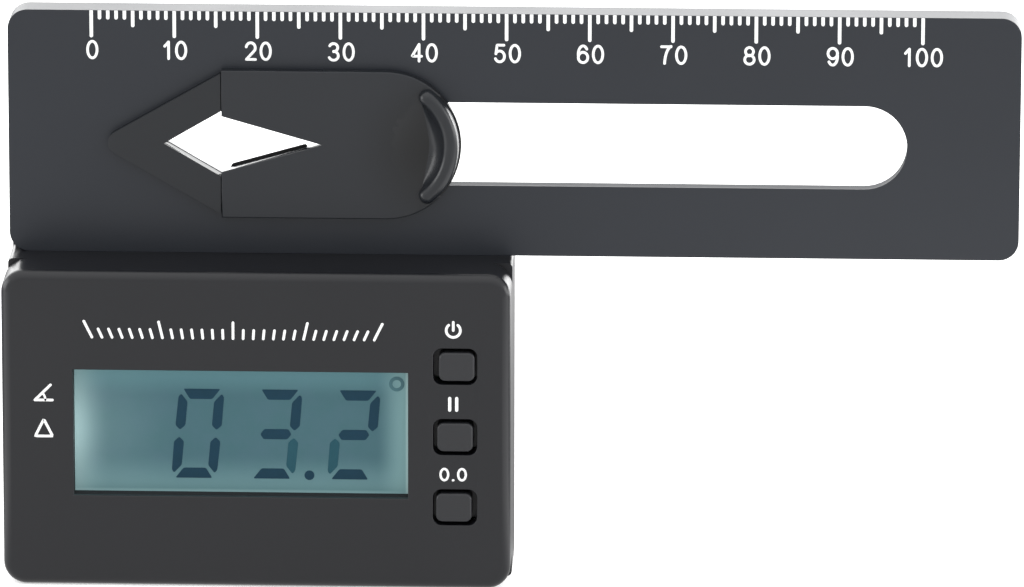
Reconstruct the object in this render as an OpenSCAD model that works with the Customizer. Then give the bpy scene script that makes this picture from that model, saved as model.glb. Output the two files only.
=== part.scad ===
// Digital pitch gauge: a slotted ruler with a fixed and a sliding V jaw, standing on a display case.
// Millimetres. X runs along the ruler, -Y is the front with the display, Z is up.
// The origin is under the middle of the overall box, on the surface that the case stands on.

/* [Ruler plate] */
// Length of the ruler plate
plate_len = 122; // [118:0.5:150]
// Height of the ruler plate
plate_h = 30; // [28:0.5:40]
// Thickness of the ruler plate
plate_t = 4; // [3.5:0.1:6]
// Corner radius of the ruler plate
plate_corner_r = 2.4; // [1:0.1:4]
// Distance from the plate's left end to the zero mark
zero_inset = 10; // [9:0.5:14]
// Height of the slot's centre line above the plate's lower edge
slot_centre_h = 13.85; // [13.5:0.05:16]
// Width of the slot
slot_w = 10.3; // [10:0.1:12]
// Distance from the seam to where the slot has its full width
slot_setback = 0.4; // [0.2:0.05:0.6]
// Right end of the slot, read on the scale
slot_end = 98.4; // [70:0.1:102]
// Margin of the keeper's track round the slot, on the back
track_margin = 3; // [2:0.1:3.6]
// Depth of the keeper's track
track_depth = 2.1; // [1.9:0.05:2.3]

/* [Fixed jaw] */
// Where the two jaws meet when closed, read on the scale
seam_at = 15.75; // [14.5:0.05:17]
// Tip of the fixed jaw, read on the scale
fixed_tip = 2.1; // [1:0.1:3]
// Radius of the fixed jaw's rounded tip
fixed_tip_r = 1.5; // [0.8:0.1:1.8]
// Half height of the fixed jaw at the seam
fixed_half_h = 8.7; // [8.2:0.1:9.2]
// Thickness of the fixed jaw
fixed_t = 1.2; // [1:0.1:2]
// Bottom of the fixed jaw's V, read on the scale
fixed_v_apex = 8.85; // [8.5:0.05:9.6]
// Half height of the fixed jaw's V at the seam
fixed_v_half = 4.05; // [3.6:0.05:4.6]
// How far the plate's own V stands inside the fixed jaw's
fixed_v_step = 0.25; // [0.1:0.05:0.4]

/* [Sliding jaw] */
// Length of the sliding jaw, from the seam to its round end
slider_len = 28.9; // [27.5:0.1:34]
// Width of the sliding jaw
slider_w = 18.25; // [17:0.05:20]
// Thickness of the sliding jaw's face plate
slider_t = 1.3; // [1.2:0.1:2]
// Depth of the sliding jaw's V
slider_v_len = 12.1; // [9:0.1:13]
// Half height of the sliding jaw's V at the seam
slider_v_half = 3.45; // [2.8:0.05:4]
// How far the guide block's V stands back from the sliding jaw's
block_v_relief = 0.25; // [0.15:0.05:0.4]
// How fast the guide block's V opens towards the back, in degrees
block_v_flare = 18; // [16:1:22]
// How far the grip ribs in the guide block's V stand inside the sliding jaw's
rib_rise = 0.2; // [0.1:0.05:0.3]
// Distance from the sliding jaw's front lip back to the grip ribs
rib_setback = 1; // [0.9:0.05:1.3]
// Distance from the bottom of the sliding jaw's V to the grip ribs
rib_short = 2.05; // [1.5:0.05:3]
// Thickness of the front lip round the sliding jaw's V
v_lip = 1.1; // [0.8:0.05:1.1]
// Setback of the guide block from the seam
block_setback = 1.2; // [0.9:0.1:2.5]
// Distance from the jaw's round end to the guide block's end
block_inset = 1.2; // [0.8:0.1:2]
// Width of the raised thumb ridge
ridge_w = 1.9; // [1.9:0.1:2.4]
// Width of the flat rim outside the thumb ridge
ridge_rim = 0.3; // [0.05:0.05:1]
// Height of the thumb ridge above the jaw's face
ridge_rise = 1.3; // [1:0.1:2]
// Rounding of the thumb ridge's top edges
ridge_edge_r = 0.9; // [0.5:0.05:0.9]
// Half of the arc that the thumb ridge covers, in degrees
ridge_half_angle = 50; // [40:1:60]
// Depth of the thumb scoop beside the ridge
scoop_depth = 0.9; // [0.5:0.05:1]
// Radius across the thumb scoop
scoop_r = 6.5; // [5:0.1:7]
// Thickness of the keeper plate
keeper_t = 1.3; // [1.1:0.05:1.6]
// Thickness of the leaf spring that brakes the slider
leaf_t = 0.2; // [0.15:0.05:0.3]
// Length of the leaf spring
leaf_len = 8; // [6:0.1:9]
// Width of the leaf spring
leaf_w = 1.4; // [1:0.1:1.6]
// Depth of the leaf spring's pocket in the guide block
leaf_pocket = 0.8; // [0.6:0.05:1]

/* [Case] */
// Width of the display case
case_w = 61.4; // [60:0.1:68]
// Height of the display case
case_h = 39.3; // [39:0.1:46]
// Distance from the plate's front face to the case's front face
case_front = 9.8; // [9.4:0.1:13]
// How far the case stands out past the plate's left end
case_overhang = 0.4; // [0:0.1:2]
// Side walls of the case
wall = 2; // [1.6:0.1:2.4]
// Front wall of the case
front_wall = 2.2; // [1.8:0.1:2.4]
// Corner radius of the case, seen from the front
case_corner_r = 2.8; // [2.6:0.1:4]
// Rounding of the case's front edges
case_edge_r = 1.2; // [0.6:0.1:1.8]
// Depth of the case's rounded front part
bezel_d = 6.2; // [5:0.1:8]
// How far the left side stands back behind the front part
case_step = 0.45; // [0.2:0.05:0.8]
// Corner radius of the case behind the front part
case_back_r = 0.6; // [0.6:0.1:1]
// Thickness of the rear cover
cover_t = 3; // [2.8:0.1:4]
// Rounding of the rear cover's back edges
cover_edge_r = 0.5; // [0.3:0.1:0.6]
// How far the rear cover's flange rises behind the ruler
flange_rise = 5.2; // [4.8:0.1:5.5]
// Setback of the flange from the case's right side
flange_inset = 0.4; // [0.3:0.1:2]
// Corner radius of the flange
flange_r = 2; // [1:0.1:2.4]

/* [Display] */
// Height of the display window
window_h = 15.7; // [13:0.1:16.5]
// Distance from the case's left side to the window
window_left = 8.65; // [8.4:0.05:9]
// Distance from the window to the case's right side
window_right = 12.35; // [12.2:0.05:14]
// Height of the window's lower edge above the base
window_base = 11.4; // [11:0.1:13]
// How far the glass reaches past the window at its ends
glass_end_margin = 1.3; // [1:0.1:1.4]
// How far the glass reaches past the window above and below
glass_edge_margin = 2; // [1.8:0.1:2.2]
// Thickness of the liquid crystal glass
glass_t = 2.2; // [1.8:0.1:2.4]
// Thickness of the backlight's light guide
guide_t = 2; // [1.8:0.1:2.4]
// Wall of the frame that holds the glass
frame_wall = 0.7; // [0.5:0.1:0.8]
// Width of the conductive rubber strip under the glass
zebra_w = 1.4; // [1:0.1:1.6]
// Length of the backlight's lamp along the light guide
lamp_len = 3; // [2:0.1:4]
// Depth of the backlight's lamp
lamp_w = 0.9; // [0.7:0.1:1.1]

/* [Keys] */
// Width of a key
key_w = 4.35; // [3.8:0.05:4.6]
// Height of a key
key_h = 3.55; // [3:0.05:3.8]
// Gap between a key and its hole
key_gap = 0.45; // [0.2:0.05:0.5]
// Distance between the keys' centres
key_pitch = 8.8; // [8.6:0.05:9.4]
// Distance from the case's right side to the keys' centres
key_from_right = 6.68; // [6.6:0.02:6.8]
// Height of the middle key above the base
key_mid_h = 19.16; // [18.8:0.02:20]
// How far a key stands out of the case's face
key_rise = 0.2; // [0.1:0.05:0.5]
// How far a key travels when pressed
key_travel = 0.5; // [0.3:0.05:0.6]
// Corner radius of a key
key_corner_r = 0.8; // [0.5:0.05:1.2]
// Rounding of a key's front edges
key_edge_r = 0.3; // [0.15:0.05:0.45]
// Width of the key's hidden ears at its sides
key_ear = 0.8; // [0.7:0.05:0.9]

/* [Electronics] */
// Thickness of the main board
board_t = 1.2; // [1:0.1:1.6]
// Gap between the main board and the case's screw posts
board_gap = 0.6; // [0.4:0.1:2]
// Width of a key switch
switch_w = 4.5; // [4:0.1:5]
// Radius of a key switch's plunger
plunger_r = 1.1; // [0.9:0.05:1.3]
// Distance from the case's left side to the left board screws
board_screw_left = 4.1; // [3.8:0.1:4.2]
// Distance from the case's right side to the right board screws
board_screw_right = 3.5; // [3.4:0.05:3.6]
// Radius of the front shell's left posts for the board
left_post_r = 1.9; // [1.6:0.05:2.2]
// Radius of the front shell's right posts for the board
right_post_r = 1.6; // [1.4:0.05:1.8]
// Radius of the epoxy cap over the controller
blob_r = 5; // [4:0.1:6]
// Height of the epoxy cap
blob_h = 1.5; // [1:0.1:2]
// Side of the tilt sensor
sensor_w = 5; // [4:0.1:6]
// Height of the tilt sensor
sensor_h = 1.6; // [1:0.1:2]
// Radius of the crystal's can
crystal_r = 1.05; // [0.8:0.05:1.2]
// Length of the crystal's can
crystal_len = 6; // [5:0.1:7]
// Length of a capacitor
capacitor_len = 2; // [1.6:0.1:3.2]
// Height of a capacitor's side on the board
capacitor_w = 1.25; // [0.8:0.05:1.6]
// Thickness of a capacitor
capacitor_t = 1; // [0.5:0.1:1.4]
// Length of a resistor
resistor_len = 1.6; // [1:0.1:2]
// Height of a resistor's side on the board
resistor_w = 0.8; // [0.5:0.05:1.2]
// Thickness of a resistor
resistor_t = 0.5; // [0.3:0.05:0.7]

/* [Battery] */
// Diameter of the coin cell
cell_d = 20; // [16:0.1:20.2]
// Thickness of the coin cell
cell_t = 3.2; // [1.6:0.1:3.2]
// Distance from the case's right side to the cell's centre
cell_from_right = 17; // [16.6:0.1:18]
// Wall of the cell's well
well_wall = 1.2; // [0.8:0.1:1.4]
// Width of the ledge that the cell rests on
well_ledge = 1.6; // [1:0.1:2]
// How far the door reaches past the cell's well
door_margin = 2; // [1.6:0.1:2.4]
// Thickness of the door's outer plate
door_t = 1.4; // [1.2:0.1:1.6]
// Width of the door's side tongues
tongue_w = 0.9; // [0.6:0.1:1.1]
// Thickness of the door's side tongues
tongue_t = 0.7; // [0.5:0.1:0.8]
// Thickness of the contact strips
contact_t = 0.3; // [0.2:0.05:0.4]
// Width of the contact strips
contact_w = 4; // [3:0.1:5]
// Length of the foot of the contact beside the cell
contact_foot = 4; // [3:0.1:4.5]
// Length of the contact under the cell
contact_reach = 6; // [4:0.1:8]
// Width of a grip groove in the door
grip_w = 0.8; // [0.6:0.1:1]
// Depth of a grip groove
grip_depth = 0.4; // [0.2:0.1:0.6]
// Distance from the case's right side to the first grip groove
grip_from_end = 2.2; // [1.8:0.1:4]

/* [Screws] */
// Shank radius of the case and ruler screws
screw_r = 0.95; // [0.8:0.05:1]
// Head radius of the case and ruler screws
screw_head_r = 1.7; // [1.5:0.05:1.8]
// Head height of the case and ruler screws
screw_head_h = 1.2; // [1:0.05:1.3]
// Shank radius of the small board, jaw and keeper screws
small_screw_r = 0.75; // [0.6:0.05:0.8]
// Head radius of the small screws
small_head_r = 1.4; // [1.2:0.05:1.45]
// Head height of the small screws
small_head_h = 0.7; // [0.6:0.05:0.8]
// Distance from the case's sides to the case screws
case_screw_inset = 3.4; // [3.2:0.05:3.6]
// Radius of the case's screw posts
post_r = 2; // [1.8:0.05:2.2]
// Distance from the flange's ends to the outer ruler screws
ruler_screw_inset = 4; // [3:0.1:8]

/* [Clearances] */
// Gap between the slider and the plate
slide_gap = 0.1; // [0.06:0.02:0.16]
// Gap between the keeper and the sides of its track
track_gap = 0.3; // [0.2:0.05:0.4]
// Half of the seam between the closed jaws
seam_gap = 0.05; // [0.03:0.01:0.1]
// Gap between a screw and its hole
screw_gap = 0.05; // [0.03:0.01:0.1]
// Gap round parts that drop into place
fit_gap = 0.15; // [0.1:0.01:0.2]

/* [Hidden] */
$fn = 64;

// Overlap that makes a cut run clear through a face
over = 1;

// Overall box, which puts the origin under its middle
total_w = plate_len + case_overhang;
total_d = key_rise + case_front + plate_t + cover_t;
case_x0 = -total_w / 2;
case_x1 = case_x0 + case_w;
plate_x0 = case_x0 + case_overhang;
zero_x = plate_x0 + zero_inset;

// Depths, from the front face of the case to the back of the cover
face_y = -total_d / 2 + key_rise;
inner_y = face_y + front_wall;
glass_back_y = inner_y + glass_t;
board_y = glass_back_y + guide_t;
board_back_y = board_y + board_t;
plate_y = face_y + case_front;
lip_y = plate_y + plate_t - track_depth;
cover_y = plate_y + plate_t;
back_y = cover_y + cover_t;

// Heights
plate_z = case_h;
slot_z = plate_z + slot_centre_h;
slot_r = slot_w / 2;
track_r = slot_r + track_margin;

// Slider
seam_x = zero_x + seam_at;
slider_x0 = seam_x + seam_gap;
slider_r = slider_w / 2;
slider_end_x = slider_x0 + slider_len - slider_r;
slider_face_y = plate_y - slide_gap - slider_t;
fixed_v_slope = fixed_v_half / (seam_at - fixed_v_apex);
plate_v_x = zero_x + fixed_v_apex + fixed_v_step / fixed_v_slope;
slot_x0 = seam_x + slot_setback;
slider_v_slope = slider_v_half / slider_v_len;
block_x0 = slider_x0 + block_setback;
block_y = slider_face_y + v_lip;
block_v_half = slider_v_half + block_v_relief;
block_r = slot_r - slide_gap;
block_end_x = slider_x0 + slider_len - block_inset - block_r;
keeper_y = lip_y + slide_gap;
keeper_v_half = block_v_half + (keeper_y - block_y) * tan(block_v_flare);
keeper_v_len = keeper_v_half / slider_v_slope;
keeper_r = track_r - track_gap;
keeper_end_x = block_end_x + block_r - keeper_r;
slot_end_x = zero_x + slot_end - slot_r;
ridge_mid_r = slider_r - ridge_rim - ridge_w / 2;
ridge_depth = ridge_rise + (scoop_depth + slider_t) / 2;
ridge_end_step = 0.02;
keeper_screw_x = [slider_x0 + keeper_v_len + 2 * small_head_r, block_end_x];
leaf_mid_x = block_end_x - leaf_len / 2 - 2 * fit_gap;
leaf_floor_z = slot_z - block_r + leaf_pocket;
leaf_low_z = slot_z - slot_r + slide_gap / 2;
leaf_rise = leaf_floor_z - leaf_low_z - leaf_t;
leaf_r = (leaf_len * leaf_len / 4 + leaf_rise * leaf_rise) / (2 * leaf_rise);
leaf_angle = asin(leaf_len / 2 / leaf_r);
leaf_y = (plate_y + lip_y) / 2;

// Display
window_x0 = case_x0 + window_left;
window_w = case_w - window_left - window_right;
glass_x0 = window_x0 - glass_end_margin;
glass_z0 = window_base - glass_edge_margin;
glass_w = window_w + 2 * glass_end_margin;
glass_h = window_h + 2 * glass_edge_margin;
zebra_inset = 2;
zebra_z = glass_z0 + fit_gap;
guide_z0 = zebra_z + zebra_w + fit_gap;
lamp_x = glass_x0 + fit_gap;
guide_x0 = lamp_x + lamp_w + fit_gap;

// Keys, each shifted sideways by the play that it takes up in its hole
key_x = case_x1 - key_from_right;
key_z = [key_mid_h + key_pitch, key_mid_h, key_mid_h - key_pitch];
key_shift = [0.2, 0, -0.14];
key_ear_y = inner_y + slide_gap;
switch_h = 2;
switch_y = board_y - switch_h;
plunger_rise = 0.8;
plunger_y = switch_y - plunger_rise;
plunger_sunk = 0.4;

// Board
board_x0 = case_x0 + wall + 2 * fit_gap;
board_w = case_w - 2 * wall - 4 * fit_gap;
board_z0 = case_screw_inset + post_r + board_gap;
board_h = case_h - 2 * board_z0;
board_screw_x = [case_x0 + board_screw_left, case_x1 - board_screw_right];
board_screw_z = [[key_mid_h - key_pitch, key_mid_h + key_pitch],
                 [key_mid_h - key_pitch / 2, key_mid_h + key_pitch / 2]];
board_post_r = [left_post_r, right_post_r];
board_screw_bite = 2.6;
board_screw_len = board_t + board_screw_bite;

// Battery
cell_x = case_x1 - cell_from_right;
cell_z = case_h / 2;
cell_r = cell_d / 2;
board_parts_x = (case_x0 + wall + cell_x - cell_r) / 2 + blob_r / 2;
well_r = cell_r + fit_gap;
door_half = well_r + door_margin;
door_inner_y = back_y - door_t - tongue_t;
cell_back_y = door_inner_y - fit_gap;
cell_front_y = cell_back_y - cell_t;
ledge_t = 0.8;
cap_t = 0.4;
cap_r = well_r - well_ledge - 3 * fit_gap;
well_y = board_back_y + 2 * fit_gap;
door_x0 = cell_x - door_half;
door_travel = case_x1 - door_x0;

// Screws
screw_hole_r = screw_r + screw_gap;
small_hole_r = small_screw_r + screw_gap;
head_depth = screw_head_h + fit_gap;
case_screw_len = 8;
ruler_screw_depth = plate_t * 0.7;
ruler_screw_z = plate_z + flange_rise / 2;
ruler_screw_x = [case_x0 + case_step + ruler_screw_inset, (case_x0 + case_x1) / 2,
                 case_x1 - flange_inset - ruler_screw_inset];
jaw_screw_x = zero_x + (fixed_tip + fixed_tip_r + fixed_v_apex) / 2;
jaw_screw_depth = fixed_t * 0.6;
jaw_boss_r = 2;
jaw_boss_len = 1;
track_x0 = jaw_screw_x - small_head_r - track_gap + track_r;
jaw_peg_r = 0.5;
jaw_peg_from_seam = 1.8;
jaw_peg_x = seam_x - jaw_peg_from_seam;
jaw_peg_z = slot_r + 2 * jaw_peg_r;
jaw_peg_len = 1.5;

// Stands a flat outline up in the XZ plane and gives it depth from y backwards
module upright(y, depth) {
    translate([0, y + depth, 0]) rotate([90, 0, 0]) linear_extrude(depth) children();
}

// A round bar or cone that runs backwards from a point
module rod(x, y, z, r, depth, r_back = -1) {
    translate([x, y, z]) rotate([-90, 0, 0]) cylinder(h = depth, r1 = r, r2 = r_back < 0 ? r : r_back);
}

// A flat slot outline with round ends, from one end's centre to the other's
module stadium(x0, x1, z, r) {
    translate([x0, z - r]) square([x1 - x0, 2 * r]);
    translate([x0, z]) circle(r);
    translate([x1, z]) circle(r);
}

// A flat outline with a square left end and a round right end
module bullet(x0, x1, z, r) {
    translate([x0, z - r]) square([x1 - x0, 2 * r]);
    translate([x1, z]) circle(r);
}

// A flat rectangle with round corners
module round_rect(w, h, r) {
    translate([r, 0]) square([w - 2 * r, h]);
    translate([0, r]) square([w, h - 2 * r]);
    for (x = [r, w - r], y = [r, h - r]) translate([x, y]) circle(r);
}

// Section through a rounded edge: the front is at the top, and the depth goes down
module edge_section(corner_r, edge_r, depth) {
    difference() {
        translate([0, -depth]) square([corner_r, depth]);
        translate([corner_r - edge_r, -edge_r]) difference() {
            square(edge_r + over);
            circle(edge_r);
        }
    }
}

// A block with round corners seen from the front and a rounded front edge
module soft_block(w, h, depth, corner_r, edge_r) {
    anchor = [[w - corner_r, h - corner_r], [corner_r, h - corner_r],
              [corner_r, corner_r], [w - corner_r, corner_r]];
    rotate([90, 0, 0]) {
        translate([corner_r, corner_r, -depth]) cube([w - 2 * corner_r, h - 2 * corner_r, depth]);
        for (k = [0:3]) translate(anchor[k]) rotate(90 * k) {
            rotate_extrude(angle = 90) edge_section(corner_r, edge_r, depth);
            rotate([90, 0, 0]) linear_extrude((k % 2 == 0 ? h : w) - 2 * corner_r)
                edge_section(corner_r, edge_r, depth);
        }
    }
}

// A pan head screw with a cross recess, head at the back, running forwards from y
module screw(x, y, z, r, len, head_r, head_h) {
    cross_w = head_r * 0.28;
    cross_len = head_r * 1.1;
    rod(x, y - len, z, r, len);
    difference() {
        rod(x, y, z, head_r, head_h);
        for (turn = [0, 90]) translate([x, y + head_h, z]) rotate([0, turn, 0])
            cube([cross_len, head_h, cross_w], center = true);
    }
}

// A V between its open end and its apex, as a flat cut
module v_cut(x_open, x_apex, z, half) {
    polygon([[x_open, z - half], [x_apex, z], [x_open, z + half]]);
}

// Front shell of the case: a deep tub with the display window and the key holes
module front_shell() {
    depth = cover_y - face_y;
    hole_w = key_w + 2 * key_gap;
    hole_h = key_h + 2 * key_gap;
    color("#3c3e42") difference() {
        union() {
            difference() {
                union() {
                    translate([case_x0, face_y, 0])
                        soft_block(case_w, case_h, bezel_d, case_corner_r, case_edge_r);
                    upright(face_y + bezel_d, depth - bezel_d) translate([case_x0 + case_step, 0])
                        round_rect(case_w - case_step, case_h, case_back_r);
                }
                upright(inner_y, depth) translate([case_x0 + wall, wall])
                    round_rect(case_w - 2 * wall, case_h - 2 * wall, case_corner_r / 2);
            }
            intersection() {
                translate([case_x0 + wall / 2, inner_y - front_wall / 2, wall / 2])
                    cube([case_w - wall, depth - front_wall / 2, case_h - wall]);
                shell_posts();
            }
        }
        upright(face_y - over, front_wall + 2 * over) translate([window_x0, window_base])
            square([window_w, window_h]);
        for (z = key_z) upright(face_y - over, front_wall + 2 * over)
            translate([key_x - hole_w / 2, z - hole_h / 2])
                round_rect(hole_w, hole_h, key_corner_r + key_gap / 2);
        for (x = [case_x0 + case_screw_inset, case_x1 - case_screw_inset],
             z = [case_screw_inset, case_h - case_screw_inset])
            rod(x, cover_y - case_screw_len, z, screw_hole_r, case_screw_len + over);
        for (side = [0, 1], z = board_screw_z[side])
            rod(board_screw_x[side], board_y - board_screw_bite, z, small_hole_r, board_screw_bite + over);
    }
}

// Posts inside the front shell for the case screws and the board screws
module shell_posts() {
    for (x = [case_x0 + case_screw_inset, case_x1 - case_screw_inset],
         z = [case_screw_inset, case_h - case_screw_inset])
        rod(x, inner_y - over, z, post_r, cover_y - inner_y + over);
    for (side = [0, 1], z = board_screw_z[side])
        rod(board_screw_x[side], inner_y - over, z, board_post_r[side], board_y - inner_y + over);
}

// Outline block of the rear cover, with its back edges rounded
module cover_block() {
    translate([case_x0 + case_step, back_y, 0]) mirror([0, 1, 0])
        soft_block(case_w - case_step, case_h, cover_t, case_back_r, cover_edge_r);
}

// Rear cover: closes the case, rises behind the ruler as a flange and holds the coin cell's well
module rear_cover() {
    flange_base = case_h - 2 * case_corner_r;
    tongue_half = door_half + tongue_w + fit_gap;
    color("#34363a") difference() {
        union() {
            cover_block();
            translate([case_x0 + case_step, back_y, flange_base]) mirror([0, 1, 0])
                soft_block(case_w - case_step - flange_inset, plate_z + flange_rise - flange_base,
                           cover_t, flange_r, cover_edge_r);
            rod(cell_x, well_y, cell_z, well_r + well_wall, cover_y - well_y + over);
        }
        rod(cell_x, cell_front_y, cell_z, well_r, cover_t + cover_y - cell_front_y + over);
        rod(cell_x, well_y - over, cell_z, well_r - well_ledge, cell_front_y - well_y + 2 * over);
        rod(cell_x, well_y - over, cell_z, well_r, cell_front_y - ledge_t - well_y + over);
        translate([cell_x - well_r - well_wall - over, well_y - over, cell_z - contact_w / 2 - fit_gap])
            cube([well_wall + 2 * well_ledge + over, cover_y - well_y + over, contact_w + 2 * fit_gap]);
        translate([door_x0 - fit_gap, door_inner_y - fit_gap, cell_z - door_half - fit_gap])
            cube([door_travel + fit_gap + over, cover_t, 2 * (door_half + fit_gap)]);
        translate([door_x0 - fit_gap, door_inner_y - fit_gap, cell_z - tongue_half])
            cube([door_travel + fit_gap + over, tongue_t + 2 * fit_gap, 2 * tongue_half]);
        for (x = [case_x0 + case_screw_inset, case_x1 - case_screw_inset],
             z = [case_screw_inset, case_h - case_screw_inset]) {
            rod(x, cover_y - over, z, screw_hole_r, cover_t + 2 * over);
            rod(x, back_y - head_depth, z, screw_head_r + fit_gap, head_depth + over);
        }
        for (x = ruler_screw_x) {
            rod(x, cover_y - over, ruler_screw_z, screw_hole_r, cover_t + 2 * over);
            rod(x, back_y - head_depth, ruler_screw_z, screw_head_r + fit_gap, head_depth + over);
        }
    }
}

// Battery door: slides out of the rear cover to the right on two side tongues
module battery_door() {
    grip_half = door_half / 2;
    color("#34363a") difference() {
        union() {
            translate([door_x0, back_y, cell_z - door_half]) linear_extrude(2 * door_half)
                edge_section(door_travel, cover_edge_r, door_t + tongue_t);
            translate([door_x0, door_inner_y, cell_z - door_half - tongue_w])
                cube([door_travel, tongue_t, 2 * (door_half + tongue_w)]);
        }
        for (k = [0:3])
            translate([case_x1 - grip_from_end - (2 * k + 1) * grip_w, back_y - grip_depth,
                       cell_z - grip_half])
                cube([grip_w, grip_depth + over, 2 * grip_half]);
    }
}

// Flat outline of the slot: a V under the fixed jaw, then the full width up to the round right end
module slot_outline() {
    v_x = slot_x0 + over;
    v_cut(v_x, plate_v_x, slot_z, (v_x - plate_v_x) * fixed_v_slope);
    bullet(slot_x0, slot_end_x, slot_z, slot_r);
}

// Ruler plate: the slotted bar that carries the scale, with the keeper's track cut in its back
module ruler_plate() {
    color("#46484c") difference() {
        upright(plate_y, plate_t) translate([plate_x0, plate_z])
            round_rect(plate_len, plate_h, plate_corner_r);
        upright(plate_y - over, plate_t + 2 * over) slot_outline();
        upright(lip_y, track_depth + over) stadium(track_x0, slot_end_x, slot_z, track_r);
        for (x = ruler_screw_x)
            rod(x, cover_y - ruler_screw_depth, ruler_screw_z, screw_hole_r, ruler_screw_depth + over);
        rod(jaw_screw_x, plate_y - over, slot_z, small_hole_r, plate_t + 2 * over);
        rod(jaw_screw_x, plate_y - over, slot_z, jaw_boss_r + screw_gap, jaw_boss_len + screw_gap + over);
        for (side = [-1, 1])
            rod(jaw_peg_x, plate_y - over, slot_z + side * jaw_peg_z,
                jaw_peg_r + screw_gap, jaw_peg_len + 2 * over);
    }
}

// Flat outline of the fixed jaw: a chevron with a rounded tip
module fixed_outline() {
    tip_x = zero_x + fixed_tip;
    tip_centre = tip_x + fixed_tip_r;
    right_x = seam_x - seam_gap;
    half_angle = atan(fixed_half_h / (right_x - tip_centre))
               - asin(fixed_tip_r / norm([right_x - tip_centre, fixed_half_h]));
    touch_x = tip_centre - fixed_tip_r * sin(half_angle);
    touch_z = fixed_tip_r * cos(half_angle);
    translate([tip_centre, slot_z]) circle(fixed_tip_r);
    polygon([[tip_centre, slot_z], [touch_x, slot_z + touch_z], [right_x, slot_z + fixed_half_h],
             [right_x, slot_z - fixed_half_h], [touch_x, slot_z - touch_z]]);
}

// Fixed jaw: stands on the plate's front, located by a boss and two pegs and held by one screw from behind
module fixed_jaw() {
    color("#3f4145") difference() {
        union() {
            upright(plate_y - fixed_t, fixed_t) difference() {
                fixed_outline();
                v_cut(seam_x, zero_x + fixed_v_apex, slot_z, fixed_v_half);
            }
            rod(jaw_screw_x, plate_y - fixed_t / 2, slot_z, jaw_boss_r, jaw_boss_len + fixed_t / 2);
            for (side = [-1, 1])
                rod(jaw_peg_x, plate_y - fixed_t / 2, slot_z + side * jaw_peg_z,
                    jaw_peg_r, jaw_peg_len + fixed_t / 2);
        }
        rod(jaw_screw_x, plate_y - jaw_screw_depth, slot_z, small_hole_r, jaw_screw_depth + jaw_boss_len + over);
    }
}

// Screw that holds the fixed jaw from behind, its head in the track
module fixed_jaw_screw() {
    color("#b9bcc0")
        screw(jaw_screw_x, lip_y, slot_z, small_screw_r, lip_y - plate_y + jaw_screw_depth - screw_gap,
              small_head_r, small_head_h);
}

// Thumb ridge: a round-topped lip along the sliding jaw's end arc, with domed ends
module thumb_ridge() {
    translate([slider_end_x, slider_face_y - ridge_rise, slot_z]) rotate([90, 0, 0]) {
        rotate(-ridge_half_angle) rotate_extrude(angle = 2 * ridge_half_angle)
            translate([ridge_mid_r, 0]) ridge_section(ridge_w);
        for (side = [-1, 1]) rotate(side * ridge_half_angle) translate([ridge_mid_r, 0, 0]) ridge_end();
    }
}

// Round end of the thumb ridge: its section turned about its middle, a hair smaller than the ridge
module ridge_end() {
    translate([0, 0, -ridge_end_step]) rotate_extrude() intersection() {
        ridge_section(ridge_w - 2 * ridge_end_step);
        translate([0, -ridge_depth]) square([ridge_w, ridge_depth]);
    }
}

// Section across the thumb ridge: a straight wall with a round-edged top at zero
module ridge_section(w) {
    translate([-w / 2, -ridge_depth]) square([w, ridge_depth - ridge_edge_r]);
    translate([ridge_edge_r - w / 2, -ridge_edge_r]) square([w - 2 * ridge_edge_r, ridge_edge_r]);
    for (side = [-1, 1]) translate([side * (w / 2 - ridge_edge_r), -ridge_edge_r]) circle(ridge_edge_r);
}

// A V that opens towards the back, as a cut: half is its half height at depth y, and it starts before that
module flared_v(y, half) {
    depth = keeper_y - y + 2 * over;
    front_half = half - over * tan(block_v_flare);
    back_half = front_half + depth * tan(block_v_flare);
    translate([slider_x0, y - over, slot_z]) rotate([-90, 0, 0])
        linear_extrude(depth, scale = back_half / front_half)
            v_cut(0, front_half / slider_v_slope, 0, front_half);
}

// Grip ribs: a straight rib along each side of the guide block's V, which bears on the blade
module grip_ribs() {
    rib_y = block_y + rib_setback;
    rib_half = (block_r + block_v_half) / 2;
    difference() {
        translate([block_x0, rib_y, slot_z - rib_half])
            cube([slider_x0 + slider_v_len - rib_short - block_x0, keeper_y - rib_y, 2 * rib_half]);
        flared_v(rib_y, slider_v_half - rib_rise);
    }
}

// Sliding jaw: face plate with its V and thumb scoop, and the guide block that runs in the slot
module sliding_jaw() {
    ball_r = (scoop_r * scoop_r + scoop_depth * scoop_depth) / (2 * scoop_depth);
    scoop_x = slider_end_x + ridge_mid_r - ridge_w / 2;
    color("#3f4145") difference() {
        union() {
            difference() {
                upright(slider_face_y, slider_t) difference() {
                    bullet(slider_x0, slider_end_x, slot_z, slider_r);
                    v_cut(slider_x0, slider_x0 + slider_v_len, slot_z, slider_v_half);
                }
                translate([scoop_x, slider_face_y - ball_r + scoop_depth, slot_z]) sphere(ball_r);
            }
            difference() {
                upright(block_y, keeper_y - block_y) bullet(block_x0, block_end_x, slot_z, block_r);
                flared_v(block_y, block_v_half);
            }
            grip_ribs();
            thumb_ridge();
        }
        translate([leaf_mid_x - leaf_len / 2 - fit_gap, leaf_y - leaf_w / 2 - fit_gap,
                   leaf_floor_z - leaf_pocket - over])
            cube([leaf_len + 2 * fit_gap, leaf_w + 2 * fit_gap, leaf_pocket + over]);
        for (x = keeper_screw_x)
            rod(x, plate_y, slot_z, small_hole_r, keeper_y - plate_y + over);
    }
}

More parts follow.
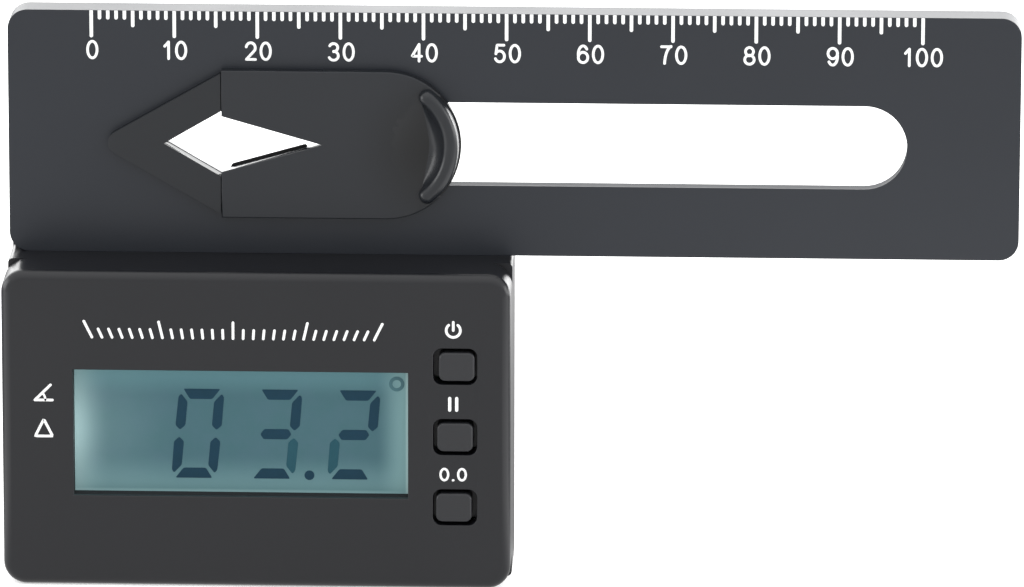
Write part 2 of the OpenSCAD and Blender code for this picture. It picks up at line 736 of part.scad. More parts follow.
// Keeper: runs in the track behind the plate and holds the sliding jaw in the slot
module slider_keeper() {
    color("#3a3c40") difference() {
        upright(keeper_y, keeper_t) difference() {
            bullet(block_x0, keeper_end_x, slot_z, keeper_r);
            v_cut(slider_x0, slider_x0 + keeper_v_len, slot_z, keeper_v_half);
        }
        for (x = keeper_screw_x) {
            rod(x, keeper_y - over, slot_z, small_hole_r, keeper_t + 2 * over);
            rod(x, keeper_y + keeper_t - small_head_h, slot_z, small_head_r + fit_gap, small_head_h + over);
        }
    }
}

// Screws that hold the keeper to the guide block
module keeper_screws() {
    color("#b9bcc0") for (x = keeper_screw_x)
        screw(x, keeper_y + keeper_t - small_head_h, slot_z, small_screw_r,
              keeper_y + keeper_t - small_head_h - plate_y - screw_gap, small_head_r, small_head_h);
}

// Leaf spring: a bowed strip in the guide block's lower edge that brakes the slider
module slider_spring() {
    color("#c8cacd") translate([leaf_mid_x, leaf_y + leaf_w / 2, leaf_low_z + leaf_r + leaf_t])
        rotate([90, 0, 0]) rotate(-90 - leaf_angle)
            rotate_extrude(angle = 2 * leaf_angle) translate([leaf_r, 0]) square([leaf_t, leaf_w]);
}

// Screws through the flange into the ruler plate
module ruler_screws() {
    color("#b9bcc0") for (x = ruler_screw_x)
        screw(x, back_y - head_depth, ruler_screw_z, screw_r,
              back_y - head_depth - cover_y + ruler_screw_depth - screw_gap, screw_head_r, screw_head_h);
}

// Screws that close the case from behind
module case_screws() {
    color("#b9bcc0")
        for (x = [case_x0 + case_screw_inset, case_x1 - case_screw_inset],
             z = [case_screw_inset, case_h - case_screw_inset])
            screw(x, back_y - head_depth, z, screw_r,
                  back_y - head_depth - cover_y + case_screw_len - screw_gap, screw_head_r, screw_head_h);
}

// Liquid crystal glass behind the window
module lcd_glass() {
    color("#6fb3bf") translate([glass_x0, inner_y, glass_z0]) cube([glass_w, glass_t, glass_h]);
}

// Light guide of the backlight, behind the glass
module lcd_backlight() {
    color("#dfeef0") translate([guide_x0, glass_back_y, guide_z0])
        cube([glass_x0 + glass_w - guide_x0 - fit_gap, guide_t, glass_z0 + glass_h - guide_z0 - fit_gap]);
}

// Lamp at the left end of the light guide
module backlight_lamp() {
    lamp_h = guide_t * 0.8;
    color("#f4f4ee") translate([lamp_x, board_y - lamp_h, glass_z0 + (glass_h - lamp_len) / 2])
        cube([lamp_w, lamp_h, lamp_len]);
}

// Frame that holds the glass and the light guide against the front wall
module lcd_frame() {
    depth = board_y - inner_y;
    color("#e8e8e4") upright(inner_y, depth) difference() {
        translate([glass_x0 - frame_wall - fit_gap, glass_z0 - frame_wall - fit_gap])
            square([glass_w + 2 * (frame_wall + fit_gap), glass_h + 2 * (frame_wall + fit_gap)]);
        translate([glass_x0 - fit_gap, glass_z0 - fit_gap])
            square([glass_w + 2 * fit_gap, glass_h + 2 * fit_gap]);
    }
}

// Conductive rubber strip between the glass and the board
module zebra_strip() {
    color("#8a6f86") translate([glass_x0 + zebra_inset, glass_back_y, zebra_z])
        cube([glass_w - 2 * zebra_inset, guide_t, zebra_w]);
}

// Main circuit board
module main_board() {
    color("#2f6b3c") difference() {
        translate([board_x0, board_y, board_z0]) cube([board_w, board_t, board_h]);
        for (side = [0, 1], z = board_screw_z[side])
            rod(board_screw_x[side], board_y - over, z, small_hole_r, board_t + 2 * over);
    }
}

// Screws that hold the board to the front shell
module board_screws() {
    color("#b9bcc0") for (side = [0, 1], z = board_screw_z[side])
        screw(board_screw_x[side], board_back_y, z, small_screw_r, board_screw_len - screw_gap,
              small_head_r, small_head_h);
}

// Epoxy cap over the controller chip
module controller_cap() {
    ball_r = (blob_r * blob_r + blob_h * blob_h) / (2 * blob_h);
    color("#17181a") translate([board_parts_x, board_back_y, cell_z]) rotate([-90, 0, 0])
        rotate_extrude() intersection() {
            translate([0, blob_h - ball_r]) circle(ball_r, $fn = 360);
            square([blob_r, blob_h]);
        }
}

// Tilt sensor chip
module tilt_sensor() {
    color("#202226") translate([board_parts_x - blob_r - 1.5 * sensor_w, board_back_y, cell_z - sensor_w / 2])
        cube([sensor_w, sensor_h, sensor_w]);
}

// Crystal: a small metal can that lies on the board
module crystal() {
    color("#d0d2d4") translate([board_parts_x - crystal_len / 2, board_back_y + crystal_r,
                                cell_z + blob_r + 3 * crystal_r])
        rotate([0, 90, 0]) cylinder(h = crystal_len, r = crystal_r);
}

// A row of small blocks soldered along the back of the board
module chip_row(count, pitch, z, size) {
    row_x0 = board_parts_x - ((count - 1) * pitch + size[0]) / 2;
    for (k = [0:count - 1])
        translate([row_x0 + k * pitch, board_back_y, z - size[2] / 2]) cube(size);
}

// Capacitors on the back of the board
module capacitors() {
    z = cell_z - blob_r - 2 * capacitor_w;
    color("#b08a5a") chip_row(3, 2 * capacitor_len, z, [capacitor_len, capacitor_t, capacitor_w]);
}

// Resistors on the back of the board
module resistors() {
    z = cell_z - blob_r - 3 * capacitor_w - 1.5 * resistor_w;
    color("#26282c") chip_row(5, 2 * resistor_len, z, [resistor_len, resistor_t, resistor_w]);
}

// Bodies of the key switches, on the front of the board
module switch_bodies() {
    bore_depth = plunger_sunk + key_travel + 2 * fit_gap;
    color("#1d1e20") for (z = key_z) difference() {
        translate([key_x - switch_w / 2, switch_y, z - switch_w / 2]) cube([switch_w, switch_h, switch_w]);
        rod(key_x, switch_y - over, z, plunger_r + fit_gap, bore_depth + over);
    }
}

// Plunger of one key switch
module plunger(k) {
    color("#d9d5c8") rod(key_x, plunger_y, key_z[k], plunger_r, plunger_rise + plunger_sunk);
}

// One key: its cap shows in the hole, and its two ears keep it behind the front wall
module key(k) {
    foot_w = key_w + 2 * key_ear;
    front = face_y - key_rise;
    color("#2c2e31") translate([key_x + key_shift[k], 0, key_z[k]]) {
        translate([-key_w / 2, front, -key_h / 2])
            soft_block(key_w, key_h, key_ear_y - front, key_corner_r, key_edge_r);
        translate([-foot_w / 2, key_ear_y, -key_h / 2]) cube([foot_w, plunger_y - key_ear_y, key_h]);
    }
}

module power_plunger() { plunger(0); }
module hold_plunger() { plunger(1); }
module zero_plunger() { plunger(2); }
module power_button() { key(0); }
module hold_button() { key(1); }
module zero_button() { key(2); }

// Coin cell: the wide can faces the door, and the smaller cap faces the board
module battery_cell() {
    color("#c9ccd0") {
        rod(cell_x, cell_front_y, cell_z, cell_r, cell_t);
        rod(cell_x, cell_front_y - cap_t, cell_z, cap_r, cap_t);
    }
}

// Contact strip that touches the cell's can at its side
module positive_contact() {
    touch_x = cell_x - cell_r - screw_gap;
    color("#d8c48a") {
        translate([touch_x - contact_foot, board_back_y, cell_z - contact_w / 2])
            cube([contact_foot, contact_t, contact_w]);
        translate([touch_x - contact_t, board_back_y, cell_z - contact_w / 2])
            cube([contact_t, cover_y - contact_t - board_back_y, contact_w]);
    }
}

// Sprung contact strip that rises from the board to the cell's cap
module negative_contact() {
    x0 = cell_x - contact_reach / 2;
    top_y = cell_front_y - cap_t;
    color("#d8c48a") {
        translate([x0, board_back_y, cell_z - contact_w / 2]) cube([contact_reach, contact_t, contact_w]);
        translate([x0 + contact_reach - contact_t, board_back_y, cell_z - contact_w / 2])
            cube([contact_t, top_y - board_back_y, contact_w]);
        translate([x0, top_y - contact_t, cell_z - contact_w / 2])
            cube([contact_reach, contact_t, contact_w]);
    }
}

front_shell();
rear_cover();
battery_door();
ruler_plate();
fixed_jaw();
fixed_jaw_screw();
sliding_jaw();
slider_keeper();
slider_spring();
keeper_screws();
ruler_screws();
case_screws();
lcd_glass();
lcd_backlight();
backlight_lamp();
lcd_frame();
zebra_strip();
main_board();
board_screws();
controller_cap();
tilt_sensor();
crystal();
capacitors();
resistors();
switch_bodies();
power_plunger();
hold_plunger();
zero_plunger();
power_button();
hold_button();
zero_button();
battery_cell();
positive_contact();
negative_contact();
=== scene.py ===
import math
import bmesh
import bpy
import numpy as np
from mathutils import Euler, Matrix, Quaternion, Vector


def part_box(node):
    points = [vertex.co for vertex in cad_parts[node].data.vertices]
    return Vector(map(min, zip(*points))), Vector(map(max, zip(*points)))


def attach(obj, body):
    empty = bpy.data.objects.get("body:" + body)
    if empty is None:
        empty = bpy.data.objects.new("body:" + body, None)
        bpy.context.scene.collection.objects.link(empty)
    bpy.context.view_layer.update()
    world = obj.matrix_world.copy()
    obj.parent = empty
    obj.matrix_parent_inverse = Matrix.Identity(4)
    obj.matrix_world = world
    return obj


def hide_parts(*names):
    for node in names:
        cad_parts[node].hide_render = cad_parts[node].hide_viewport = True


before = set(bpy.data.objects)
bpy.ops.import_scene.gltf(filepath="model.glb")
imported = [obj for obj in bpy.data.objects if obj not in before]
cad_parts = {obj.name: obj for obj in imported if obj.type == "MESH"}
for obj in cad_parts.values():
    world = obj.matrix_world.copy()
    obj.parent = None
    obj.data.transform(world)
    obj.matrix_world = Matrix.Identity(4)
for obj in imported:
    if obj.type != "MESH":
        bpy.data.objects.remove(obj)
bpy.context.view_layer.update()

# Ruler plate: the slotted bar that carries the scale, with a track in its back for the keeper.
# It is moulded in black ABS with a fine satin grain, and the mould leaves its edges slightly round.
# Screws from behind hold it to the rear cover's flange.
MM = 0.001
PLATE_EDGE = 0.12
PLATE_TONES = ("#1e2229", "#1a1e25")
ABS_INDEX = 1.46
FLOW_MM = 18
WALL_START = np.array([0.1, 0.2])
TRACK_START = (3.3, 3.2)
TOP_EDGE = np.array([1.5, 2.0])
SLOT_CHANGE_X = (-21, -20)
OPEN_SLOT_ROUGHNESS = 0.65
JAW_END_ROUGHNESS = 0.1


def linear(code):
    """Linear RGBA of an sRGB hex code: each channel goes through the sRGB transfer curve."""
    srgb = np.array([int(code[k:k + 2], 16) for k in (1, 3, 5)]) / 255
    return (*np.where(srgb > 0.04045, ((srgb + 0.055) / 1.055) ** 2.4, srgb / 12.92), 1.0)


def add(tree, kind, inputs=None, **settings):
    """Adds a shader node with its settings; an input is a link if it is a socket, else a value."""
    node = tree.nodes.new("ShaderNode" + kind)
    for key, value in settings.items():
        setattr(node, key, value)
    for key, value in (inputs or {}).items():
        if isinstance(value, bpy.types.NodeSocket):
            tree.links.new(value, node.inputs[key])
        else:
            node.inputs[key].default_value = value
    return node


def bare_material(name):
    """A new material, its node tree, its shader and the place on the piece in Object coordinates."""
    material = bpy.data.materials.new(name)
    material.use_nodes = True
    tree = material.node_tree
    return material, tree, tree.nodes["Principled BSDF"], add(tree, "TexCoord").outputs["Object"]


def box_mm(node):
    """Lowest and highest corner of a CAD node, in millimetres."""
    lo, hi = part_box(node)
    return np.array(lo) / MM, np.array(hi) / MM


def weighted_shading(piece):
    """Smooth shading whose normals lean on the larger faces, so that flats stay flat up to their edges."""
    piece.data.polygons.foreach_set("use_smooth", np.ones(len(piece.data.polygons), dtype=bool))
    weighted = piece.modifiers.new("weighted_normals", "WEIGHTED_NORMAL")
    weighted.keep_sharp = True


def edge_broken(node, name, body, material, depths, width, flat_angle=0.4, sharp_angle=32):
    """Copy of a CAD solid whose edges at the given depths are rounded by width, in mm.

    The copy's doubles are merged and its flat triangles joined first, so that the bevel runs evenly.
    Faces that meet within flat_angle count as flat, and from sharp_angle on as an edge, in degrees.
    """
    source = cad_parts[node].data
    mesh = source.copy()
    mesh.name = name
    mesh.materials.clear()
    mesh.materials.append(material)
    if "custom_normal" in mesh.attributes:
        mesh.attributes.remove(mesh.attributes["custom_normal"])
    shape = bmesh.new()
    shape.from_mesh(mesh)
    bmesh.ops.remove_doubles(shape, verts=shape.verts, dist=0.001 * MM)
    bmesh.ops.dissolve_limit(shape, angle_limit=math.radians(flat_angle), verts=shape.verts,
                             edges=shape.edges)
    bmesh.ops.connect_verts_concave(shape, faces=shape.faces)
    for edge in shape.edges:
        edge.smooth = edge.is_manifold and edge.calc_face_angle(0) < math.radians(sharp_angle)
    weight = shape.edges.layers.float.new("bevel_weight_edge")
    for edge in shape.edges:
        first, second = (vert.co.y / MM for vert in edge.verts)
        on_depth = any(abs(first - depth) < 0.005 and abs(second - depth) < 0.005 for depth in depths)
        if on_depth and not edge.smooth and edge.is_convex:
            edge[weight] = 1.0
            edge.smooth = True
    shape.to_mesh(mesh)
    shape.free()
    piece = bpy.data.objects.new(name, mesh)
    bpy.context.collection.objects.link(piece)
    rounding = piece.modifiers.new("broken_edges", "BEVEL")
    rounding.limit_method = "WEIGHT"
    rounding.width = width * MM
    rounding.segments = 3
    rounding.loop_slide = False
    rounding.use_clamp_overlap = True
    weighted_shading(piece)
    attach(piece, body)
    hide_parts(node)
    return piece


def moulded_black(name, tone, grain_mm=0.35, grain_depth_mm=0.006, roughness=(0.36, 0.46)):
    """Black ABS as it leaves a satin mould: a near black body, a fine grain and slow changes of gloss.

    The grain is noise grain_mm across that lifts the surface by grain_depth_mm. A second noise, FLOW_MM
    across, moves the tone and the roughness a little, as handling and flow in the mould do.
    """
    material, tree, shader, place = bare_material(name)
    grain = add(tree, "TexNoise", {"Vector": place, "Scale": 1 / (grain_mm * MM), "Detail": 2.0})
    slow = add(tree, "TexNoise", {"Vector": place, "Scale": 1 / (FLOW_MM * MM), "Detail": 3.0}).outputs["Fac"]
    pale, dark = tone
    colour = add(tree, "Mix", {0: slow, 6: linear(dark), 7: linear(pale)}, data_type="RGBA")
    gloss = add(tree, "MapRange", {"Value": slow, "To Min": roughness[0], "To Max": roughness[1]},
                interpolation_type="SMOOTHSTEP")
    lift = add(tree, "Bump", {"Height": grain.outputs["Fac"], "Distance": grain_depth_mm * MM,
                              "Strength": 1.0})
    tree.links.new(colour.outputs[2], shader.inputs["Base Color"])
    tree.links.new(gloss.outputs["Result"], shader.inputs["Roughness"])
    tree.links.new(lift.outputs["Normal"], shader.inputs["Normal"])
    shader.inputs["IOR"].default_value = ABS_INDEX
    return material


def walls_finished(material, roughness, *ramps):
    """Gives a plastic another roughness where all ramps are full: each is (axis, none at, full at), in mm."""
    tree = material.node_tree
    shader = tree.nodes["Principled BSDF"]
    split = add(tree, "SeparateXYZ", {"Vector": add(tree, "TexCoord").outputs["Object"]})
    wall = 1.0
    for axis, none_at, full_at in ramps:
        ramp = add(tree, "MapRange", {"Value": split.outputs[axis], "From Min": none_at * MM,
                                      "From Max": full_at * MM})
        wall = add(tree, "Math", {0: ramp.outputs["Result"], 1: wall}, operation="MULTIPLY").outputs[0]
    plain = shader.inputs["Roughness"].links[0].from_socket
    gloss = add(tree, "Mix", {0: wall, 2: plain, 3: roughness})
    tree.links.new(gloss.outputs[0], shader.inputs["Roughness"])
    return material


plate_lo, plate_hi = box_mm("ruler_plate")
plate_abs = moulded_black("satin_black_abs_plate", PLATE_TONES)
slot_walls = [("Y", *(plate_lo[1] + WALL_START)), ("Y", *TRACK_START), ("Z", *(plate_hi[2] - TOP_EDGE))]
walls_finished(plate_abs, OPEN_SLOT_ROUGHNESS, *slot_walls, ("X", *SLOT_CHANGE_X))
walls_finished(plate_abs, JAW_END_ROUGHNESS, *slot_walls, ("X", *SLOT_CHANGE_X[::-1]))
edge_broken("ruler_plate", "ruler_plate_body", "casing", plate_abs,
            [plate_lo[1], plate_hi[1]], PLATE_EDGE)

# Scale: white pad-printed ticks every millimetre and a number every ten, on the plate's front face.
# The ink is a film a few hundredths of a millimetre thick, and the ticks start over the plate's top edge.
INK = 0.03
INK_STEP = 0.004
INK_GRAIN = 0.4
INK_RELIEF = 0.004
TICK_WIDTH = 0.42
TICK_LENGTHS = (3.36, 2.07, 1.14)
ZERO_X = -50.68
NUMBER_SHIFT = 0.1
NUMBER_SIZE = (1.46, 2.38)
NUMBER_STROKE = 0.32
NUMBER_SPACING = 0.34
NUMBER_Z = 64.42


def grid_piece(name, blocks, body, material):
    """Closed mesh from blocks of points in mm, each an array (copies, rows, columns, 3) and a ring flag.

    Each copy is a tube: its columns close on themselves, and its rows either close too, as in a ring,
    or end in a flat cap. Rows that shrink to a line are merged.
    """
    points = []
    faces = []
    for block, ring in blocks:
        copies, rows, columns, _ = block.shape
        first = sum(len(part) for part in points)
        index = first + np.arange(copies * rows * columns).reshape(copies, rows, columns)
        turned = np.roll(index, -1, axis=2)
        stop = rows if ring else rows - 1
        along = np.roll(index, -1, axis=1)[:, :stop]
        along_turned = np.roll(turned, -1, axis=1)[:, :stop]
        sides = np.stack([index[:, :stop], turned[:, :stop], along_turned, along], axis=-1)
        faces += sides.reshape(-1, 4).tolist()
        if not ring:
            faces += index[:, 0, ::-1].tolist() + index[:, -1].tolist()
        points.append(block.reshape(-1, 3))
    mesh = bpy.data.meshes.new(name)
    mesh.from_pydata((np.concatenate(points) * MM).tolist(), [], faces)
    shape = bmesh.new()
    shape.from_mesh(mesh)
    bmesh.ops.remove_doubles(shape, verts=shape.verts, dist=0.0002 * MM)
    bmesh.ops.recalc_face_normals(shape, faces=shape.faces)
    shape.to_mesh(mesh)
    shape.free()
    mesh.materials.append(material)
    piece = bpy.data.objects.new(name, mesh)
    bpy.context.collection.objects.link(piece)
    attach(piece, body)
    return piece


def printing_ink(name, pale, dark):
    """White pad-printing ink on plastic: a matt film whose cover varies a little with the grain below."""
    material, tree, shader, place = bare_material(name)
    cover = add(tree, "TexNoise", {"Vector": place, "Scale": 1 / (INK_GRAIN * MM), "Detail": 3.0})
    colour = add(tree, "Mix", {0: cover.outputs["Fac"], 6: linear(dark), 7: linear(pale)}, data_type="RGBA")
    lift = add(tree, "Bump", {"Height": cover.outputs["Fac"], "Distance": INK_RELIEF * MM, "Strength": 1.0})
    tree.links.new(colour.outputs[2], shader.inputs["Base Color"])
    tree.links.new(lift.outputs["Normal"], shader.inputs["Normal"])
    shader.inputs["Roughness"].default_value = 0.55
    shader.inputs["IOR"].default_value = 1.5
    return material


def arc(cx, cz, rx, rz, start, stop):
    """Points on an ellipse from one angle to another, in degrees anticlockwise from the right."""
    angle = np.radians(np.linspace(start, stop, 33))
    return np.stack([cx + rx * np.cos(angle), cz + rz * np.sin(angle)], axis=1)


def evenly(path, count):
    """The same path with count points at even distances."""
    path = np.asarray(path, dtype=float)
    length = np.append(0, np.cumsum(np.linalg.norm(np.diff(path, axis=0), axis=1)))
    at = np.linspace(0, length[-1], count)
    return np.stack([np.interp(at, length, path[:, 0]), np.interp(at, length, path[:, 1])], axis=1)


# Each sign is a width and its strokes, on a field that is one unit wide and one high
SIGNS = {
    "0": (1, [arc(0.5, 0.5, 0.5, 0.5, 90, 450)]),
    "1": (0.66, [[(0.0, 0.74), (0.63, 1)], [(0.63, 1), (0.63, 0)]]),
    "2": (1, [np.concatenate([arc(0.5, 0.7, 0.48, 0.3, 170, -32), [(0.04, 0)]]), [(0.04, 0), (1, 0)]]),
    "3": (1, [arc(0.48, 0.76, 0.44, 0.24, 155, -90), arc(0.48, 0.265, 0.5, 0.265, 90, -155)]),
    "4": (1, [[(0.74, 1), (0, 0.29), (1, 0.29)], [(0.74, 1), (0.74, 0)]]),
    "5": (1, [[(0.92, 1), (0.2, 1), (0.08, 0.48)], arc(0.48, 0.325, 0.5, 0.325, 142, -155)]),
    "6": (1, [arc(0.5, 0.31, 0.5, 0.31, 90, 450), arc(0.5, 0.5, 0.5, 0.5, 38, 196)]),
    "7": (1, [[(0, 1), (1, 1)], arc(1.18, -0.1, 0.85, 1.15, 102, 175)]),
    "8": (1, [arc(0.5, 0.755, 0.42, 0.245, 90, 450), arc(0.5, 0.27, 0.5, 0.27, 90, 450)]),
    "9": (1, [arc(0.5, 0.69, 0.5, 0.31, 90, 450), arc(0.5, 0.5, 0.5, 0.5, 218, 376)]),
    ".": (0.05, [[(0, 0), (1, 0)]]),
}


def stroke_films(paths, stroke, y, closed):
    """Ink films along paths (x, z): a thin rectangle carried along each path, with round ends where open.

    Films cycle through five heights, a few microns apart, so that no two that cross share a plane.
    """
    paths = np.asarray(paths)
    step = np.roll(paths, -1, axis=1) - np.roll(paths, 1, axis=1) if closed else np.gradient(paths, axis=1)
    ahead = step / np.linalg.norm(step, axis=2, keepdims=True)
    half = np.full(paths.shape[:2], stroke / 2)
    if not closed:
        turn = np.linspace(0, np.pi / 2, 6)[1:]
        reach = stroke / 2 * np.sin(turn)[None, :, None]
        narrow = np.broadcast_to(stroke / 2 * np.cos(turn), (len(paths), len(turn)))
        before = (paths[:, :1] - ahead[:, :1] * reach)[:, ::-1]
        after = paths[:, -1:] + ahead[:, -1:] * reach
        paths = np.concatenate([before, paths, after], axis=1)
        ahead = np.concatenate([np.repeat(ahead[:, :1], len(turn), axis=1), ahead,
                                np.repeat(ahead[:, -1:], len(turn), axis=1)], axis=1)
        half = np.concatenate([narrow[:, ::-1], half, narrow], axis=1)
    across = np.stack([-ahead[..., 1], ahead[..., 0]], axis=-1)
    side = np.array([-1, 1, 1, -1])
    flat = paths[:, :, None] + across[:, :, None] * (half[:, :, None] * side)[..., None]
    height = INK + INK_STEP * (np.arange(len(paths)) % 5 + (0 if closed else 0.5))
    depth = y - height[:, None, None] * np.array([1, 1, -1, -1])
    depth = np.broadcast_to(depth, flat.shape[:3])
    return np.stack([flat[..., 0], depth, flat[..., 1]], axis=-1)


def lettering(name, lines, size, stroke, spacing, y, body, material):
    """White signs as ink films: each line is (text, centre x, centre z), size is a sign's (width, height).

    All sizes are in mm and over all, with the stroke's own width in them.
    """
    wide = size[0] - stroke
    high = size[1] - stroke
    loops = []
    lines_open = []
    for text, x, z in lines:
        advance = [SIGNS[sign][0] * wide + stroke + spacing for sign in text]
        left = x - (sum(advance) - spacing) / 2 + stroke / 2
        for sign, step in zip(text, advance):
            for path in SIGNS[sign][1]:
                path = evenly(path, 33)
                closed = np.allclose(path[0], path[-1])
                placed = path * [SIGNS[sign][0] * wide, high] + [left, z - high / 2]
                (loops if closed else lines_open).append(placed[:-1] if closed else placed)
            left += step
    blocks = [(stroke_films(loops, stroke, y, True), True)] if loops else []
    blocks += [(stroke_films(lines_open, stroke, y, False), False)] if lines_open else []
    return grid_piece(name, blocks, body, material)


def tick_films(x, length):
    """Ticks as films carried down a path: over the plate's rounded top edge, down its face, to a round end.

    x and length are arrays, one value a tick. The section is a thin rectangle that narrows at the end.
    """
    bend = np.linspace(np.pi / 4, 0, 4)
    top_z = plate_hi[2] - PLATE_EDGE
    face_y = plate_lo[1]
    over_z = top_z + PLATE_EDGE * np.sin(bend)
    over_y = face_y + PLATE_EDGE * (1 - np.cos(bend))
    half = TICK_WIDTH / 2
    end = np.linspace(0, np.pi / 2, 6)
    end_z = plate_hi[2] - length[:, None] + half - half * np.sin(end)
    z = np.concatenate([np.broadcast_to(over_z, (len(x), len(bend))), end_z], axis=1)
    y = np.concatenate([over_y, np.full(len(end), face_y)])
    lean = np.concatenate([bend, np.zeros(len(end))])
    width = np.concatenate([np.full(len(bend), half), half * np.cos(end)])
    side = np.array([-1, 1, 1, -1])
    depth = np.array([INK, INK, -INK, -INK])
    points = np.empty((len(x), len(width), 4, 3))
    points[..., 0] = x[:, None, None] + width[None, :, None] * side
    points[..., 1] = (y[:, None] - depth * np.cos(lean)[:, None])[None]
    points[..., 2] = z[:, :, None] + (depth * np.sin(lean)[:, None])[None]
    return points


scale_white = printing_ink("white_pad_print", "#f0f1f0", "#e4e6e6")
mark = np.arange(101)
long_tick, middle_tick, short_tick = TICK_LENGTHS
mark_length = np.where(mark % 10 == 0, long_tick, np.where(mark % 5 == 0, middle_tick, short_tick))
tick_block = tick_films(ZERO_X + mark, mark_length)
grid_piece("scale_ticks", [(tick_block, False)], "casing", scale_white)
numbers = [(str(value), ZERO_X + NUMBER_SHIFT + value, NUMBER_Z) for value in range(0, 101, 10)]
lettering("scale_numbers", numbers, NUMBER_SIZE, NUMBER_STROKE, NUMBER_SPACING, plate_lo[1], "casing",
          scale_white)

# Fixed jaw: a black ABS chevron with a V in its right side, pegged and screwed to the plate at the slot's
# end. The copy of its solid has the outline's sharp front edge broken, and the V's lower wall drafted by
# 8 degrees, as on the moulding, by a shift of its two back corners.
JAW_EDGE = 0.16
JAW_GRAIN = 0.3
V_DRAFT = {(-41.95, 53.15): (0.158, 0.093), (-35.1, 49.129): (0.0, 0.186)}
V_ROUGHNESS = 0.12
fixed_lo = box_mm("fixed_jaw")[0]
fixed_abs = moulded_black("blade_rubbed_black_abs", ("#181b20", "#15181c"), grain_mm=JAW_GRAIN)
walls_finished(fixed_abs, V_ROUGHNESS, ("Y", *(fixed_lo[1] + WALL_START)))
fixed_jaw = edge_broken("fixed_jaw", "fixed_jaw_body", "casing", fixed_abs, [fixed_lo[1]],
                        JAW_EDGE)
for vertex in fixed_jaw.data.vertices:
    for (x, z), (right, up) in V_DRAFT.items():
        if np.allclose(np.array(vertex.co) / MM, (x, plate_lo[1], z), atol=0.01):
            vertex.co += Vector((right, 0, up)) * MM

# Sliding jaw and its keeper: the jaw's face plate runs on the front of the ruler, its block runs in the slot,
# and the keeper plate in the track behind it takes two screws. Both are moulded in the same black ABS.
# Blades have rubbed the V's walls, and the scoop beside the ridge has painted shade: its colour darkens
# towards a point near the ridge.
RIDGE_RISE = 1.3
# Painted shade of the scoop: its tone, its reach and its place near the ridge, in mm
SCOOP_SHADE_TONE = "#060607"
SCOOP_SHADE_REACH = 12.0
SCOOP_SHADE_OUT = 0.7
SCOOP_SHADE_DROP = 0.5
V_REACH = 12.5
V_FADE = 0.5
BLOCK_ROUGHNESS = 0.1


def thumb_polished(material, tone, centre, reach):
    """Painted shade: darkens a plastic's colour around a point in mm, fading out smoothly at reach."""
    tree = material.node_tree
    shader = tree.nodes["Principled BSDF"]
    place = add(tree, "TexCoord").outputs["Object"]
    away = add(tree, "VectorMath", {0: place, 1: np.asarray(centre) * MM}, operation="DISTANCE")
    mask = add(tree, "MapRange", {"Value": away.outputs["Value"], "From Min": reach * MM, "From Max": 0.0},
               interpolation_type="SMOOTHSTEP").outputs["Result"]
    plain = shader.inputs["Base Color"].links[0].from_socket
    shaded_colour = add(tree, "Mix", {0: mask, 6: plain, 7: linear(tone)}, data_type="RGBA")
    tree.links.new(shaded_colour.outputs[2], shader.inputs["Base Color"])
    return material


slider_lo, slider_hi = box_mm("sliding_jaw")
jaw_face = slider_lo[1] + RIDGE_RISE
end_radius = (slider_hi[2] - slider_lo[2]) / 2
end_x = slider_hi[0] - end_radius
slot_z = (slider_hi[2] + slider_lo[2]) / 2
scoop_shade_centre = (end_x + SCOOP_SHADE_OUT * end_radius, jaw_face, slot_z - SCOOP_SHADE_DROP)
v_end = slider_lo[0] + V_REACH
thumb_abs = moulded_black("scoop_shaded_black_abs", ("#1d2025", "#191c21"), grain_mm=JAW_GRAIN)
# Painted shade in the scoop beside the ridge: the jaw's colour darkens towards this point.
thumb_polished(thumb_abs, SCOOP_SHADE_TONE, scoop_shade_centre, SCOOP_SHADE_REACH)
walls_finished(thumb_abs, BLOCK_ROUGHNESS, ("Y", *(jaw_face + WALL_START)), ("X", v_end, v_end - V_FADE))
edge_broken("sliding_jaw", "sliding_jaw_body", "slider", thumb_abs, [jaw_face], JAW_EDGE)
keeper_hi = box_mm("slider_keeper")[1]
keeper_abs = moulded_black("satin_black_abs_keeper", ("#1f2328", "#1b1e23"), grain_mm=JAW_GRAIN)
edge_broken("slider_keeper", "slider_keeper_body", "slider", keeper_abs, [keeper_hi[1]],
            JAW_EDGE)

# Grip bars: a narrow bar with round ends along each side of the sliding jaw's V, over the solid's rib.
# They are moulded with the jaw's block in duller black ABS and bear on the blade; their tone, darker than the
# jaw's, is painted shade of the V's recess.
RIB_X = (-34.05, -24.7)
RIB_Z = (50.171, 52.836)
RIB_Y = (2.17, 3.45)
RIB_SKIN = 0.08
RIB_BODY = 0.7
RIB_END = 0.35
RIB_FALL = 0.32


def grip_bars(rows=28):
    """Points of two bars: a rectangle carried along the rib's edge, lower at its back, round at both ends.

    Near an end the top follows a quarter circle of radius RIB_END. The second bar mirrors the first about
    the slot's middle.
    """
    s = (1 - np.cos(np.linspace(0, np.pi, rows))) / 2
    x = RIB_X[0] + (RIB_X[1] - RIB_X[0]) * s
    edge = RIB_Z[0] + (RIB_Z[1] - RIB_Z[0]) * s
    near = np.clip(np.minimum(s, 1 - s) * (RIB_X[1] - RIB_X[0]) / RIB_END, 0.02, 1)
    top = edge - RIB_BODY + (RIB_BODY + RIB_SKIN) * np.sqrt(1 - (1 - near) ** 2)
    foot = edge - RIB_BODY - RIB_FALL
    y = np.array([RIB_Y[0], RIB_Y[0], RIB_Y[1], RIB_Y[1]])
    z = np.stack([foot, top, top - RIB_FALL, foot - RIB_FALL], axis=1)
    bar = np.stack([np.repeat(x[:, None], 4, axis=1), np.broadcast_to(y, z.shape), z], axis=-1)
    mirrored = bar * [1, 1, -1] + [0, 0, 2 * slot_z]
    return np.stack([bar, mirrored])


# The bars' near black tone is painted shade of the recess they stand in.
bar_abs = moulded_black("black_abs_grip_bar", ("#0d0e10", "#090a0b"), grain_mm=JAW_GRAIN,
                        roughness=(0.5, 0.6))
grid_piece("grip_bars", [(grip_bars(), False)], "slider", bar_abs)

